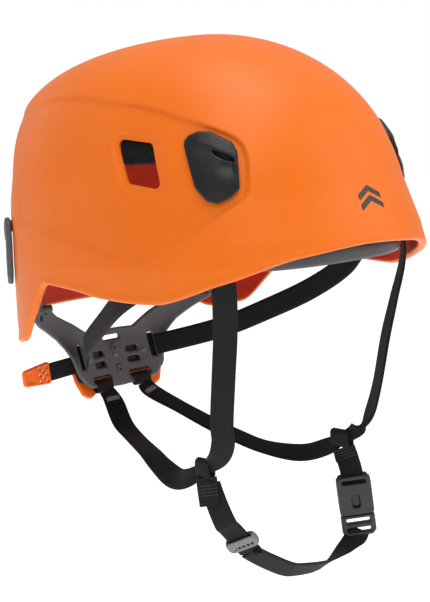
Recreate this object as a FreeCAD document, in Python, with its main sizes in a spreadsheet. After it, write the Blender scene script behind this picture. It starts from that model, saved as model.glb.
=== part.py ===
"""Arborist climbing helmet: shell, foam crown, harness, nape cradle, lamp clips and chin strap.

Millimetres. The wearer faces -Y, the wearer's right is -X, Z is up. Z = 0 is the level of
the front rim and headband; the Z axis runs through the middle of the head.
"""
import FreeCAD
import Part
import Sketcher
import math
import os
from FreeCAD import Vector, Rotation, Placement

doc = FreeCAD.newDocument("arborist_helmet")
sheet = doc.addObject("Spreadsheet::Sheet", "sizes")

SIZES = [
    ("crown_top", 124.0),        # height of the crown above the front rim
    ("shell_half_width", 109.0),
    ("shell_front", 139.5),      # brim tip ahead of the axis
    ("shell_rear", 140.0),
    ("shell_wall", 4.6),
    ("recess_depth", 2.4),       # side panels are set back by this much
    ("liner_gap", 0.8),
    ("liner_thick", 11.0),
    ("liner_base", 47.0),        # lower edge of the foam
    ("pad_thick", 5.0),
    ("band_inset", 15.0),        # headband outside face, in from the shell skin
    ("band_thick", 2.2),
    ("band_low", -17.0),
    ("band_high", 8.0),
    ("stud_radius", 3.0),
    ("stud_length", 12.9),
    ("web_width", 15.0),
    ("web_thick", 1.5),
    ("cradle_thick", 3.0),
    ("cover_gap", 4.6),
    ("cover_thick", 3.6),
    ("pivot_radius", 2.55),
    ("pivot_length", 22.0),
    ("pivot_hole", 2.63),
    ("rivet_radius", 2.2),
    ("rivet_length", 10.4),
    ("clip_front_rise", 2.8),    # front clip outside face above the shell skin
    ("clip_front_gap", 0.4),     # with the recess below it, 2.8 mm for a lamp strap
    ("clip_rear_rise", 4.9),
    ("clip_rear_gap", 1.9),
    ("anchor_width", 20.0),
    ("anchor_height", 16.0),
    ("anchor_thick", 3.0),
    ("anchor_stud", 4.7),        # from the plate into the shell wall
    ("tab_length", 22.0),
    ("tab_height", 16.0),
    ("tab_thick", 2.2),
    ("tab_hole", 1.1),
    ("keeper_width", 20.0),
    ("keeper_length", 9.4),
    ("keeper_thick", 5.2),
    ("keeper_slot", 2.4),
    ("keeper_slot_width", 15.8),
    ("socket_width", 23.0),
    ("socket_length", 27.0),
    ("socket_thick", 9.0),
    ("cavity_width", 20.2),
    ("cavity_depth", 20.5),
    ("cavity_thick", 5.2),
    ("plug_base_length", 15.0),
    ("plug_thick", 6.0),
    ("tongue_width", 8.0),
    ("tongue_length", 17.0),
    ("tongue_thick", 3.6),
    ("prong_width", 3.0),
    ("prong_length", 16.0),
    ("prong_thick", 4.4),
]
for row, (alias, value) in enumerate(SIZES, start=1):
    sheet.set(f"A{row}", alias)
    sheet.set(f"B{row}", f"{value:g}")
    sheet.setAlias(f"B{row}", alias)
doc.recompute()


def size(alias):
    """Return one driving size from the sheet."""
    return float(sheet.get(alias))


def bind(obj, **expressions):
    """Bind properties of obj to sheet expressions such as 'sizes.web_width'."""
    for prop, text in expressions.items():
        obj.setExpression(prop, text)


nodes = []


def keep(obj, name):
    """Register obj as the sub-part called name."""
    obj.Label = name
    nodes.append((name, obj))
    return obj


def feature(name, shape, placement=None):
    """Add a shape that no primitive describes as a sub-part."""
    obj = doc.addObject("Part::Feature", name)
    obj.Shape = shape
    obj.Placement = placement or Placement()
    return keep(obj, name)


# ---------------------------------------------------------------- shell skin
# Superellipse plan, square at the rim and rounder towards the crown.
PLAN_LOW = 2.57
PLAN_HIGH = 2.12
FRONT_SCALE, FRONT_POWER = 0.908, 2.2
REAR_SCALE, REAR_POWER = 1.032, 5.0
BRIM_FLARE, BRIM_START = 0.056, 30.0
REAR_TUCK, TUCK_DROP, TUCK_END = 0.012, 30.0, 50.0
# Rim height at stations round the head, in degrees from the front.
RIM = [(0, -5), (20, -8), (40, -20), (60, -31), (80, -29), (95, -25), (110, -23),
       (122, -46), (132, -64), (142, -67), (155, -51), (180, -51)]


def clamp(value, low, high):
    return max(low, min(high, value))


def skin_radius(phi, z, grow=0.0):
    """Distance of the shell skin from the Z axis; phi in radians from the front."""
    t = clamp(z / (size("crown_top") + grow), 0.0, 1.0)
    if z > 0:
        flare = BRIM_FLARE * max(1 - z / BRIM_START, 0.0) ** 1.5
    else:
        flare = BRIM_FLARE * min(1 - 0.03 * z, 1.35)
    tuck = REAR_TUCK * clamp((BRIM_START - z) / TUCK_DROP, 0.0, 1.0)
    tuck *= clamp((z + TUCK_END) / TUCK_END, 0.0, 1.0)
    front = FRONT_SCALE * math.sqrt(1 - t ** FRONT_POWER) + flare
    rear = REAR_SCALE * math.sqrt(1 - t ** REAR_POWER) - tuck
    power = PLAN_LOW - (PLAN_LOW - PLAN_HIGH) * t * t
    cosine = math.cos(phi)
    scale = front * (0.5 + 0.5 * cosine) + rear * (0.5 - 0.5 * cosine)
    depth = size("shell_front") if cosine > 0 else size("shell_rear")
    across = abs(math.sin(phi)) / (size("shell_half_width") + grow)
    along = abs(cosine) / (depth + grow)
    return scale * (across ** power + along ** power) ** (-1 / power)


def skin_point(phi_deg, z, grow=0.0):
    """Point on the skin, moved out by grow."""
    phi = math.radians(phi_deg)
    radius = skin_radius(phi, z, grow)
    return Vector(-radius * math.sin(phi), -radius * math.cos(phi), z)


def rim_slope(index):
    """Slope of the rim curve at a station, level at the ends and at every crest or dip."""
    if index in (0, len(RIM) - 1):
        return 0.0
    (a0, z0), (a1, z1), (a2, z2) = RIM[index - 1:index + 2]
    before, after = (z1 - z0) / (a1 - a0), (z2 - z1) / (a2 - a1)
    if before * after <= 0:
        return 0.0
    return 2 * before * after / (before + after)


def rim_height(phi_deg):
    """Rim height on a smooth curve through the stations."""
    angle = abs(phi_deg)
    for index, ((a0, z0), (a1, z1)) in enumerate(zip(RIM, RIM[1:])):
        if angle <= a1:
            span = a1 - a0
            f = (angle - a0) / span
            lift = f * f * (3 - 2 * f)
            lead = f * (1 - f) ** 2 * span * rim_slope(index)
            trail = f * f * (f - 1) * span * rim_slope(index + 1)
            return z0 + (z1 - z0) * lift + lead + trail
    return RIM[-1][1]


def closed_curve(points):
    """Closed smooth wire through points."""
    curve = Part.BSplineCurve()
    curve.interpolate(Points=points, PeriodicFlag=True)
    return Part.Wire([curve.toShape()])


SECTION_STEP = 7.5
LEVELS = [-0.65, -0.3, -0.08, 0.08, 0.24, 0.4, 0.52, 0.64, 0.74, 0.82, 0.885, 0.935, 0.968, 0.987, 0.997]


def skin_solid(grow):
    """Solid dome bounded by the skin moved out by grow (negative: inwards)."""
    count = int(360 / SECTION_STEP)
    wires = []
    for level in LEVELS:
        z = level * (size("crown_top") + grow) + (min(grow, 0.0) if level < -0.6 else 0.0)
        ring = [skin_point(-180 + SECTION_STEP * i, z, grow) for i in range(count)]
        wires.append(closed_curve(ring))
    return Part.makeLoft(wires, True, False)


def rim_cutter():
    """Everything below the rim line, as a ring that clears the Z axis."""
    outer, inner = [], []
    for step in range(120):
        angle = -180 + 3.0 * step
        z = rim_height(angle)
        point = skin_point(angle, z)
        outer.append(Vector(point.x * 1.4, point.y * 1.4, z))
        inner.append(Vector(point.x * 0.5, point.y * 0.5, z))
    top = Part.makeRuledSurface(closed_curve(outer), closed_curve(inner))
    return top.extrude(Vector(0, 0, -220))


def prism(outline, direction, start, length):
    """Extrude a closed polygon given as 3D points along a direction, from start for length."""
    wire = Part.makePolygon([p + direction * start for p in outline + outline[:1]])
    return Part.Face(wire).extrude(direction * length)


def side_prism(outline_yz, side, near, far):
    """Prism along X from an outline in the YZ plane, on one side of the head."""
    points = [Vector(0, y, z) for y, z in outline_yz]
    return prism(points, Vector(side, 0, 0), near, far - near)


# Side panel, seen from the side: front edge, eased top edge to the rear, lower crease.
PANEL = [(-106, 30), (-104, 44), (-101, 53), (-97, 59), (-90, 63), (-83, 67), (-68, 73), (-50, 79),
         (-30, 84), (0, 89), (27, 91.5), (54, 92), (78, 91), (104, 88), (150, 86),
         (150, 16), (100, 13), (74, 11), (44, 8), (12, 1), (-21, -6), (-40, -10), (-50, -11.5),
         (-60, -10), (-70, -5), (-84, 5), (-95, 15), (-103, 23)]
PANEL_REAR_EDGE = 26.0
VENT = [(-24, 63.5), (-22, 60), (-35, 38.5), (-38, 35.5), (-57, 32), (-60, 35), (-52.5, 57), (-49, 60)]

outer = skin_solid(0.0)
recessed = skin_solid(-size("recess_depth"))
shell = outer
for side in (-1, 1):
    panel = side_prism(PANEL, side, PANEL_REAR_EDGE, 150)
    shell = shell.cut(panel.cut(recessed))
shell = shell.cut(skin_solid(-size("shell_wall")))
shell = shell.cut(rim_cutter())
for side in (-1, 1):
    shell = shell.cut(side_prism(VENT, side, 60, 130))
feature("outer_shell", shell)

# ---------------------------------------------------------------- foam crown and pads
foam_outer = skin_solid(-size("shell_wall") - size("liner_gap"))
foam_inner_inset = size("shell_wall") + size("liner_gap") + size("liner_thick")
foam_inner = skin_solid(-foam_inner_inset)
above = Part.makeBox(400, 400, 200, Vector(-200, -200, size("liner_base")))
feature("crown_liner", foam_outer.common(above).cut(foam_inner))

pad_gap = 0.4
pad_outer = skin_solid(-foam_inner_inset - pad_gap)
pad_inner = skin_solid(-foam_inner_inset - pad_gap - size("pad_thick"))
pad_plan = Part.makeCylinder(38, 200, Vector(0, -22, 60))
pad_plan = pad_plan.fuse(Part.makeCylinder(38, 200, Vector(0, 30, 60)))
pad_plan = pad_plan.fuse(Part.makeBox(76, 52, 200, Vector(-38, -22, 60)))
feature("crown_pad", pad_outer.cut(pad_inner).common(pad_plan))

# ---------------------------------------------------------------- headband and forehead pad
BAND_BACK = -14.0
FOREHEAD_BACK = -62.0
band_outer = skin_solid(-size("band_inset"))
band_inner = skin_solid(-size("band_inset") - size("band_thick"))
band_height = size("band_high") - size("band_low")
band_zone = Part.makeBox(300, 200, band_height, Vector(-150, BAND_BACK - 200, size("band_low")))
feature("front_headband", band_outer.cut(band_inner).common(band_zone))

brow_outer = skin_solid(-size("band_inset") - size("band_thick") - pad_gap)
brow_inner = skin_solid(-size("band_inset") - size("band_thick") - pad_gap - size("pad_thick"))
brow_zone = Part.makeBox(300, 200, band_height - 4,
                         Vector(-150, FOREHEAD_BACK - 200, size("band_low") + 2))
feature("forehead_pad", brow_outer.cut(brow_inner).common(brow_zone))


def radial(phi_deg, z, inset):
    """Placement on the skin with local +Z pointing outwards and local +Y up."""
    phi = math.radians(phi_deg)
    out = Vector(-math.sin(phi), -math.cos(phi), 0)
    up = Vector(0, 0, 1)
    turn = Rotation(up.cross(out), up, out, "ZXY")
    return Placement(skin_point(phi_deg, z, -inset), turn)


def square_seat(phi_deg, z, inset):
    """Placement like radial, but facing straight out of the skin's plan curve."""
    up = Vector(0, 0, 1)
    along = (skin_point(phi_deg + 1, z) - skin_point(phi_deg - 1, z)).normalize()
    out = up.cross(along)
    return Placement(skin_point(phi_deg, z) - out * inset, Rotation(up.cross(out), up, out, "ZXY"))


studs = []
for number, angle in enumerate((-58, -20, 20, 58), start=1):
    stud = doc.addObject("Part::Cylinder", f"headband_stud_{number}")
    bind(stud, Radius="sizes.stud_radius", Height="sizes.stud_length")
    stud.Placement = radial(angle, 0, size("band_inset") + size("band_thick") - 0.3)
    studs.append(stud)
stud_group = doc.addObject("Part::Compound", "headband_studs")
stud_group.Links = studs
keep(stud_group, "headband_studs")

# ---------------------------------------------------------------- lamp clips
CLIP_FRONT = [(-15, 19), (-10, 22), (2, 20), (13, 14), (16, 9), (15, -14), (8, -19), (0, -22), (-7, -20),
              (-12, -14)]
CLIP_REAR = [(-10, 19), (-7, 22), (7, 22), (10, 19), (11, 0), (9, -18), (5, -22), (-5, -22),
             (-9, -18), (-11, 0)]


def lamp_clip(name, phi_deg, z_mid, outline, foot_low, place):
    """Sprung tongue over the shell, open underneath except for its foot at the top."""
    side = 1 if phi_deg > 0 else -1
    seat = radial(phi_deg, z_mid, 0)
    out = seat.Rotation.multVec(Vector(0, 0, 1))
    points = [seat.multVec(Vector(x * side, y, 0)) for x, y in outline]
    block = prism(points, out, -22, 60)
    outer_face = skin_solid(size(f"clip_{place}_rise"))
    body = outer_face.cut(skin_solid(0.35)).common(block)
    low = Part.makeBox(60, 60, 60, Vector(-30, -60 + foot_low, -30))
    low.Placement = seat.multiply(low.Placement)
    body = body.cut(skin_solid(size(f"clip_{place}_gap")).common(low))
    feature(name, body)


for side, label in ((1, "right"), (-1, "left")):
    lamp_clip(f"lamp_clip_front_{label}", 41 * side, 45, CLIP_FRONT, 9, "front")
    lamp_clip(f"lamp_clip_rear_{label}", 139.5 * side, -7, CLIP_REAR, 12, "rear")

# ---------------------------------------------------------------- nape cradle and cover
# The cradle is part of a surface turned about a vertical line just behind the head axis.
CRADLE_AXIS_Y = 1.0
CRADLE_RADII = [(-20, 125.5), (-45, 125.1), (-75, 124.2), (-90, 120.6), (-105, 116.0), (-125, 109.0)]
PIVOT_Y, PIVOT_Z = 106.0, -50.0


def turned_wall(low_offset, high_offset):
    """Closed wall between two offsets of the cradle surface."""
    inner = [Vector(radius + low_offset, 0, z) for z, radius in CRADLE_RADII]
    outer_side = [Vector(radius + high_offset, 0, z) for z, radius in CRADLE_RADII]
    curve_in = Part.BSplineCurve()
    curve_in.interpolate(inner)
    curve_out = Part.BSplineCurve()
    curve_out.interpolate(outer_side)
    wire = Part.Wire([curve_in.toShape(), Part.makeLine(inner[-1], outer_side[-1]),
                      curve_out.toShape(), Part.makeLine(outer_side[0], inner[0])])
    wall = Part.Face(wire).revolve(Vector(0, 0, 0), Vector(0, 0, 1), 180)
    wall.translate(Vector(0, CRADLE_AXIS_Y, 0))
    return wall


def rear_prism(outline_xz, mirror=True):
    """Prism along Y from an outline in XZ; the outline is the +X half when mirrored."""
    points = list(outline_xz)
    if mirror:
        points += [(-x, z) for x, z in reversed(outline_xz) if x > 0]
    return prism([Vector(x, 0, z) for x, z in points], Vector(0, 1, 0), 55, 110)


def slot(x_mid, z_mid, width, height):
    """Straight slot through the cradle."""
    return Part.makeBox(width, 110, height, Vector(x_mid - width / 2, 55, z_mid - height / 2))


CRADLE = [(0, -78), (9, -76.5), (20, -75), (34, -66), (52, -57), (66, -45), (74, -41), (80, -42),
          (81.5, -48), (80.5, -56), (75, -61), (66, -66), (54, -74), (46, -82), (41, -90), (38, -103),
          (31, -111), (20, -114), (0, -115)]
cradle = turned_wall(-size("cradle_thick") / 2, size("cradle_thick") / 2).common(rear_prism(CRADLE))
for side in (-1, 1):
    for z in (-90.5, -98):
        cradle = cradle.cut(slot(15 * side, z, 10, 3.6))
    cradle = cradle.cut(slot(32 * side, -90, 4.4, 17))
    cradle = cradle.cut(slot(17 * side, -107.5, 17, 4.4))
    hole = Part.makeCylinder(size("pivot_hole"), 60, Vector(50 * side, PIVOT_Y, PIVOT_Z), Vector(side, 0, 0))
    cradle = cradle.cut(hole)
cradle = cradle.cut(slot(0, -84, 4.2, 6.5))
feature("nape_cradle", cradle)

COVER = [(0, -86), (30, -86), (40, -89), (44, -96), (41, -108), (33, -116), (18, -120), (0, -121)]
cover_wall = turned_wall(size("cover_gap"), size("cover_gap") + size("cover_thick"))
feature("nape_cover", cover_wall.common(rear_prism(COVER)))

rivets = []
for number, (x, z) in enumerate(((-24, -94), (24, -94), (0, -94)), start=1):
    rivet = doc.addObject("Part::Cylinder", f"nape_rivet_{number}")
    bind(rivet, Radius="sizes.rivet_radius", Height="sizes.rivet_length")
    y_start = CRADLE_AXIS_Y + math.sqrt(117.6 ** 2 - x * x)
    angle = math.degrees(math.asin(x / 117.6))
    rivet.Placement = Placement(Vector(x, y_start, z), Rotation(Vector(0, 0, 1), -angle)
                                .multiply(Rotation(Vector(1, 0, 0), -90)))
    rivets.append(rivet)
rivet_group = doc.addObject("Part::Compound", "nape_rivets")
rivet_group.Links = rivets
keep(rivet_group, "nape_rivets")

pins = []
for side, label in ((-1, "right"), (1, "left")):
    outward = Rotation(Vector(0, 0, 1), Vector(side, 0, 0))
    pin = doc.addObject("Part::Cylinder", f"nape_pivot_{label}")
    bind(pin, Radius="sizes.pivot_radius", Height="sizes.pivot_length")
    pin.Placement = Placement(Vector(61 * side, PIVOT_Y, PIVOT_Z), outward)
    pins.append(pin)
pin_group = doc.addObject("Part::Compound", "nape_pivot_pins")
pin_group.Links = pins
keep(pin_group, "nape_pivot_pins")


# ---------------------------------------------------------------- webbing
def path_point(controls, t):
    """Catmull-Rom point through the control rows at parameter t (0 to len - 1)."""
    index = min(int(t), len(controls) - 2)
    f = t - index
    p1, p2 = controls[index], controls[index + 1]
    p0 = controls[max(index - 1, 0)]
    p3 = controls[min(index + 2, len(controls) - 1)]
    out = []
    for a, b, c, d in zip(p0, p1, p2, p3):
        out.append(0.5 * (2 * b + (c - a) * f + (2 * a - 5 * b + 4 * c - d) * f * f
                          + (3 * b - a - 3 * c + d) * f ** 3))
    return out


def web(controls, per_span=5, thick=None):
    """Flat webbing along rows (x, y, z, width x, width y, width z, width share)."""
    thick = thick or size("web_thick")
    width = size("web_width")
    count = per_span * (len(controls) - 1)
    wires = []
    for step in range(count + 1):
        t = step / per_span
        row = path_point(controls, t)
        ahead = path_point(controls, min(t + 0.05, len(controls) - 1))
        behind = path_point(controls, max(t - 0.05, 0))
        tangent = (Vector(*ahead[:3]) - Vector(*behind[:3])).normalize()
        across = Vector(*row[3:6])
        across = (across - tangent * across.dot(tangent)).normalize()
        normal = tangent.cross(across)
        half = across * (0.5 * width * row[6])
        rise = normal * (0.5 * thick)
        mid = Vector(*row[:3])
        corners = [mid + half + rise, mid - half + rise, mid - half - rise, mid + half - rise]
        wires.append(Part.makePolygon(corners + corners[:1]))
    return Part.makeLoft(wires, True, True)


def around_pivot(radius):
    """Solid cylinder about the nape hinge line."""
    return Part.makeCylinder(radius, 260, Vector(-130, PIVOT_Y, PIVOT_Z), Vector(1, 0, 0))


APEX = {"right": Vector(-58.4, -43.2, -140.5), "left": Vector(64, -41, -147)}
SPLIT_BAND = 62.0
SPLIT_REAR = 86.0
SPLIT_GAP = 1.2

for side, label in ((-1, "right"), (1, "left")):
    apex = APEX[label]
    front = [(79 * side, -89, 8, -0.75 * side, -0.66, 0, 1)]
    if label == "right":
        front += [(-75, -91, -22, 0.6, -0.8, 0, 1), (-70, -84, -52, 0.5, -0.86, 0, 1),
                  (-68, -78, -76, 0.45, -0.9, 0, 1), (-64.5, -69, -108, 0.45, -0.9, 0, 1),
                  (-62, -66, -121, 0.45, -0.85, -0.1, 1), (-60, -58, -132, 0.5, -0.7, -0.4, 0.85),
                  (apex.x, apex.y - 0.4, apex.z, 0, 0, -1, 0.5)]
    else:
        front += [(78.6, -91, -22, -0.6, -0.8, 0, 1), (75, -84, -52, -0.5, -0.86, 0, 1),
                  (72, -78, -76, -0.45, -0.9, 0, 1), (68, -72, -108, -0.45, -0.9, 0, 1),
                  (66, -65, -128, -0.3, -0.9, 0.3, 0.95), (64.5, -54, -140, 0, -0.6, 0.8, 0.7),
                  (apex.x, apex.y - 0.4, apex.z, 0, 0, 1, 0.5)]
    feature(f"front_strap_{label}", web(front))

    if label == "right":
        rear = [(apex.x, apex.y + 0.4, apex.z, 0, 0, 1, 0.5), (-61.4, -30, -148, 0.3, 0.3, 0.9, 0.8),
                (-59, -14, -151, 0.75, 0, 0.65, 1), (-51.7, 10, -147.1, 0.94, -0.3, 0.2, 1),
                (-43.7, 30, -144, 0.94, -0.34, 0, 1), (-31, 62, -140.8, 0.94, -0.34, -0.1, 1),
                (-24, 84, -134.8, 0.97, -0.2, 0, 1), (-16.5, 103, -122.5, 1, 0, 0.1, 1),
                (-17, 109.4, -115.8, 1, 0, 0.1, 0.85)]
    else:
        rear = [(apex.x, apex.y + 0.4, apex.z, 0, 0, 1, 0.5), (62, -30, -153.5, 0.3, 0.3, 0.9, 0.8),
                (57, -8, -160, 0.75, 0.1, 0.6, 1), (50, 22, -158.3, 0.93, 0.26, 0.3, 1),
                (43, 45, -151.2, 0.93, 0.26, 0.25, 1), (36.7, 60, -144.4, 0.93, 0.26, 0.25, 1),
                (29, 84, -133.5, 0.97, 0.2, 0.15, 1), (19, 103, -122, 1, 0, 0.1, 1),
                (17, 109.4, -115.8, 1, 0, 0.1, 0.85)]
    rear_web = web(rear)
    feature(f"rear_strap_{label}", rear_web.cut(around_pivot(SPLIT_REAR + SPLIT_GAP / 2)))
    feature(f"rear_strap_end_{label}", rear_web.common(around_pivot(SPLIT_REAR - SPLIT_GAP / 2)))

    if label == "right":
        band = [(-31, 111, -89, 0, 0, 1, 1), (-50, 84, -76, 0, 0, 1, 1), (-72, 34, -55, 0, 0, 1, 1),
                (-87, -8, -36, 0, 0, 1, 1), (-88, -40, -21, 0, 0, 1, 1), (-83.9, -54.3, -11, 0, 0, 1, 1)]
    else:
        band = [(31, 111, -90, 0, 0, 1, 1), (59, 70, -79, 0, 0, 1, 1), (74, 34, -65, 0, 0, 1, 1),
                (85, 0, -50, 0, 0, 1, 1), (88, -32, -32, 0, 0, 1, 1), (83.9, -54.3, -12, 0, 0, 1, 1)]
    band_web = web(band)
    feature(f"headband_strap_{label}", band_web.cut(around_pivot(SPLIT_BAND + SPLIT_GAP / 2)))
    feature(f"headband_strap_end_{label}", band_web.common(around_pivot(SPLIT_BAND - SPLIT_GAP / 2)))


def band_ring(centre, run, down, inside_long, inside_wide, wall, width):
    """Webbing folded into a flat loop: hole axis along run, long side along down."""
    run = Vector(*run).normalize()
    down = Vector(*down)
    down = (down - run * down.dot(run)).normalize()
    across = down.cross(run)
    blocks = []
    for extra in (wall, 0.0):
        half_long = inside_long / 2 + extra
        half_wide = inside_wide / 2 + extra
        stretch = width if extra else width + 2
        corners = [down * half_long + across * half_wide, down * half_long - across * half_wide,
                   down * -half_long - across * half_wide, down * -half_long + across * half_wide]
        points = [centre + corner for corner in corners]
        blocks.append(prism(points, run, -stretch / 2, stretch))
    ring = blocks[0].cut(blocks[1])
    return ring


for side, label in ((-1, "right"), (1, "left")):
    apex = APEX[label]
    ring = band_ring(apex, (0, 1, 0), (0, 0, -1), 9.4, 3.4, 1.5, 13 if label == "right" else 17)
    if label == "right":
        tail = web([(-58.4, -43.8, -146.4, 0.6, -0.78, 0.1, 0.87), (-58.8, -45, -154, 0.6, -0.78, 0.1, 0.87),
                    (-59.1, -46.4, -163.5, 0.6, -0.78, 0.1, 0.87)], thick=4.4)
    else:
        tail = web([(64, -42, -153.3, 0.3, -0.95, 0, 1.05), (64, -43.5, -157, 0.45, -0.9, 0, 1.05),
                    (64, -45, -161, 0.6, -0.8, 0, 1.05)], thick=4.4)
    feature(f"junction_loop_{label}", ring.fuse(tail))

for side, label in ((-1, "right"), (1, "left")):
    x = 17 * side
    loop = band_ring(Vector(x, 113.2, -112.4), (1, 0, 0), (0, -0.3, -1), 6.5, 3.9, 1.5, 14)
    feature(f"rear_strap_loop_{label}", loop)

# Chin strap: the straight stretch carries the keeper; the bottom is cut where the buckle half
# pulls away.
KEEPER_MID = Vector(-39.3, -51.2, -190.8)
STRAIGHT = Vector(0.654, 0.022, -0.757)
CHIN_ACROSS = (0.461, -0.807, 0.375)
straight_rows = [(*(KEEPER_MID + STRAIGHT * along), *CHIN_ACROSS, 1) for along in (-20, -13.2, 9, 12)]
chin = [(-57, -45.6, -150, 0.55, -0.82, 0.1, 0.85), (-56, -48.6, -161.5, 0.5, -0.84, 0.2, 0.95),
        *straight_rows, (-19.5, -51, -208, 0.1, -0.75, 0.65, 1), (-3, -51, -217.7, 0, -0.72, 0.7, 1),
        (8.4, -51, -221.3, 0, -0.72, 0.7, 1), (14, -51, -222.7, 0, -0.72, 0.7, 1)]
feature("chin_strap", web(chin, 6))
BUCKLE_UP = Vector(-0.1, 0, 0.995).normalize()
BUCKLE_WIDE = Vector(0.76, -0.65, 0)
BUCKLE_WIDE = (BUCKLE_WIDE - BUCKLE_UP * BUCKLE_WIDE.dot(BUCKLE_UP)).normalize()
SOCKET_MID = Vector(64, -50, -184)
chin_end = [(15.4, -51, -223, 0, -0.72, 0.7, 1), (27.9, -51, -224, 0.1, -0.75, 0.6, 1),
            (41.9, -50.6, -221.8, 0.4, -0.76, 0.4, 1), (54, -50.2, -217.2, 0.65, -0.7, 0.2, 1),
            (62.5, -50, -213.2, 0.76, -0.65, 0, 1), (66.2, -50, -208.6, 0.76, -0.65, 0, 1)]
feature("chin_strap_end", web(chin_end))
buckle_web = [(64, -44.4, -158.4, 0.6, -0.8, 0, 1), (63.6, -47.5, -165.5, 0.7, -0.7, 0, 1),
              (62.9, -50, -172.4, 0.76, -0.65, 0, 1)]
feature("buckle_strap", web(buckle_web))


# ---------------------------------------------------------------- bodies with sketches
def new_body(name, placement):
    """Body with its placement set, ready for sketches."""
    body = doc.addObject("PartDesign::Body", name)
    body.Placement = placement
    return keep(body, name)


def plane_of(body, role):
    """Origin plane of the body with the given role."""
    for item in body.Origin.OriginFeatures:
        if item.Role == role:
            return item
    raise ValueError(role)


def box_sketch(body, name, role, width, height, x="0", y="0"):
    """Rectangle bound to sheet expressions, its middle at (x, y) on an origin plane."""
    sketch = body.newObject("Sketcher::SketchObject", name)
    sketch.AttachmentSupport = [(plane_of(body, role), "")]
    sketch.MapMode = "FlatFace"
    corners = [Vector(-1, -1, 0), Vector(1, -1, 0), Vector(1, 1, 0), Vector(-1, 1, 0)]
    for start, end in zip(corners, corners[1:] + corners[:1]):
        sketch.addGeometry(Part.LineSegment(start, end))
    for line in range(4):
        sketch.addConstraint(Sketcher.Constraint("Coincident", line, 2, (line + 1) % 4, 1))
    sketch.addConstraint(Sketcher.Constraint("Horizontal", 0))
    sketch.addConstraint(Sketcher.Constraint("Horizontal", 2))
    sketch.addConstraint(Sketcher.Constraint("Vertical", 1))
    sketch.addConstraint(Sketcher.Constraint("Vertical", 3))
    wide = sketch.addConstraint(Sketcher.Constraint("DistanceX", 0, 1, 0, 2, 2))
    tall = sketch.addConstraint(Sketcher.Constraint("DistanceY", 1, 1, 1, 2, 2))
    left = sketch.addConstraint(Sketcher.Constraint("DistanceX", -1, 1, 0, 2, 1))
    low = sketch.addConstraint(Sketcher.Constraint("DistanceY", -1, 1, 2, 1, 1))
    sketch.setExpression(f"Constraints[{wide}]", width)
    sketch.setExpression(f"Constraints[{tall}]", height)
    sketch.setExpression(f"Constraints[{left}]", f"{x} + ({width}) / 2")
    sketch.setExpression(f"Constraints[{low}]", f"{y} + ({height}) / 2")
    return sketch


def dot_sketch(body, name, role, radius, x, y):
    """Circle bound to a sheet expression at (x, y) on an origin plane."""
    sketch = body.newObject("Sketcher::SketchObject", name)
    sketch.AttachmentSupport = [(plane_of(body, role), "")]
    sketch.MapMode = "FlatFace"
    circle = sketch.addGeometry(Part.Circle(Vector(x, y, 0), Vector(0, 0, 1), 1.0))
    hole = sketch.addConstraint(Sketcher.Constraint("Radius", circle, 1.0))
    sketch.setExpression(f"Constraints[{hole}]", radius)
    return sketch


def pad(body, sketch, length):
    """Pad a sketch both ways from its plane."""
    step = body.newObject("PartDesign::Pad", f"{sketch.Name}_pad")
    step.Profile = sketch
    step.Midplane = True
    step.setExpression("Length", length)
    return step


def pocket(body, sketch, length=None):
    """Pocket both ways from the sketch plane, right through when no length is given."""
    step = body.newObject("PartDesign::Pocket", f"{sketch.Name}_cut")
    step.Profile = sketch
    step.Midplane = True
    if length:
        step.setExpression("Length", length)
    else:
        step.Type = "ThroughAll"
    return step


def repeat(body, step, axis_role, length, count):
    """Repeat a step along a body axis."""
    row = body.newObject("PartDesign::LinearPattern", f"{step.Name}_row")
    row.Originals = [step]
    axis = plane_of(body, axis_role)
    row.Direction = (axis, [""])
    row.Length = length
    row.Occurrences = count
    body.Tip = row
    return row


def framed(origin, x_dir, z_dir):
    """Placement with local X and Z along the given directions."""
    x_dir = Vector(*x_dir).normalize()
    z_dir = Vector(*z_dir)
    z_dir = (z_dir - x_dir * z_dir.dot(x_dir)).normalize()
    y_dir = z_dir.cross(x_dir)
    return Placement(origin, Rotation(x_dir, y_dir, z_dir, "XZY"))


# Keeper: local X along the strap, Y across it, Z out of its face.
keeper = new_body("strap_keeper", framed(KEEPER_MID, STRAIGHT, (-0.603, -0.594, -0.538)))
block = box_sketch(keeper, "keeper_block", "XY_Plane", "sizes.keeper_length", "sizes.keeper_width")
pad(keeper, block, "sizes.keeper_thick")
way = box_sketch(keeper, "keeper_way", "YZ_Plane", "sizes.keeper_slot_width", "sizes.keeper_slot")
pocket(keeper, way)
doc.recompute()
dot = dot_sketch(keeper, "keeper_dot", "XY_Plane", "sizes.tab_hole", 0, -7)
dot_cut = pocket(keeper, dot)
doc.recompute()
repeat(keeper, dot_cut, "Y_Axis", 14, 5)

# Pull tab: local X along the tail, Y up.
TAIL_OUT = Vector(-0.995, 0.0, -0.07).normalize()
TAIL_START = Vector(-46.5, 117.6, -95)
tail_end = TAIL_START + TAIL_OUT * 12
tail_rows = [(p.x, p.y, p.z, 0, 0, 1, 0.85) for p in (TAIL_START, TAIL_START + TAIL_OUT * 6, tail_end)]
feature("pull_strap", web(tail_rows))
tab_mid = TAIL_START + TAIL_OUT * (5 + size("tab_length") / 2 + 7.3)
tab = new_body("pull_tab", framed(tab_mid, TAIL_OUT, (0, -1, 0)))
face = box_sketch(tab, "tab_face", "XY_Plane", "sizes.tab_length", "sizes.tab_height")
pad(tab, face, "sizes.tab_thick")
doc.recompute()
for number, y in enumerate((-4, 0, 4), start=1):
    dot = dot_sketch(tab, f"tab_dot_{number}", "XY_Plane", "sizes.tab_hole", -7, y)
    dot_cut = pocket(tab, dot)
    doc.recompute()
    repeat(tab, dot_cut, "X_Axis", 12, 4)

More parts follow.
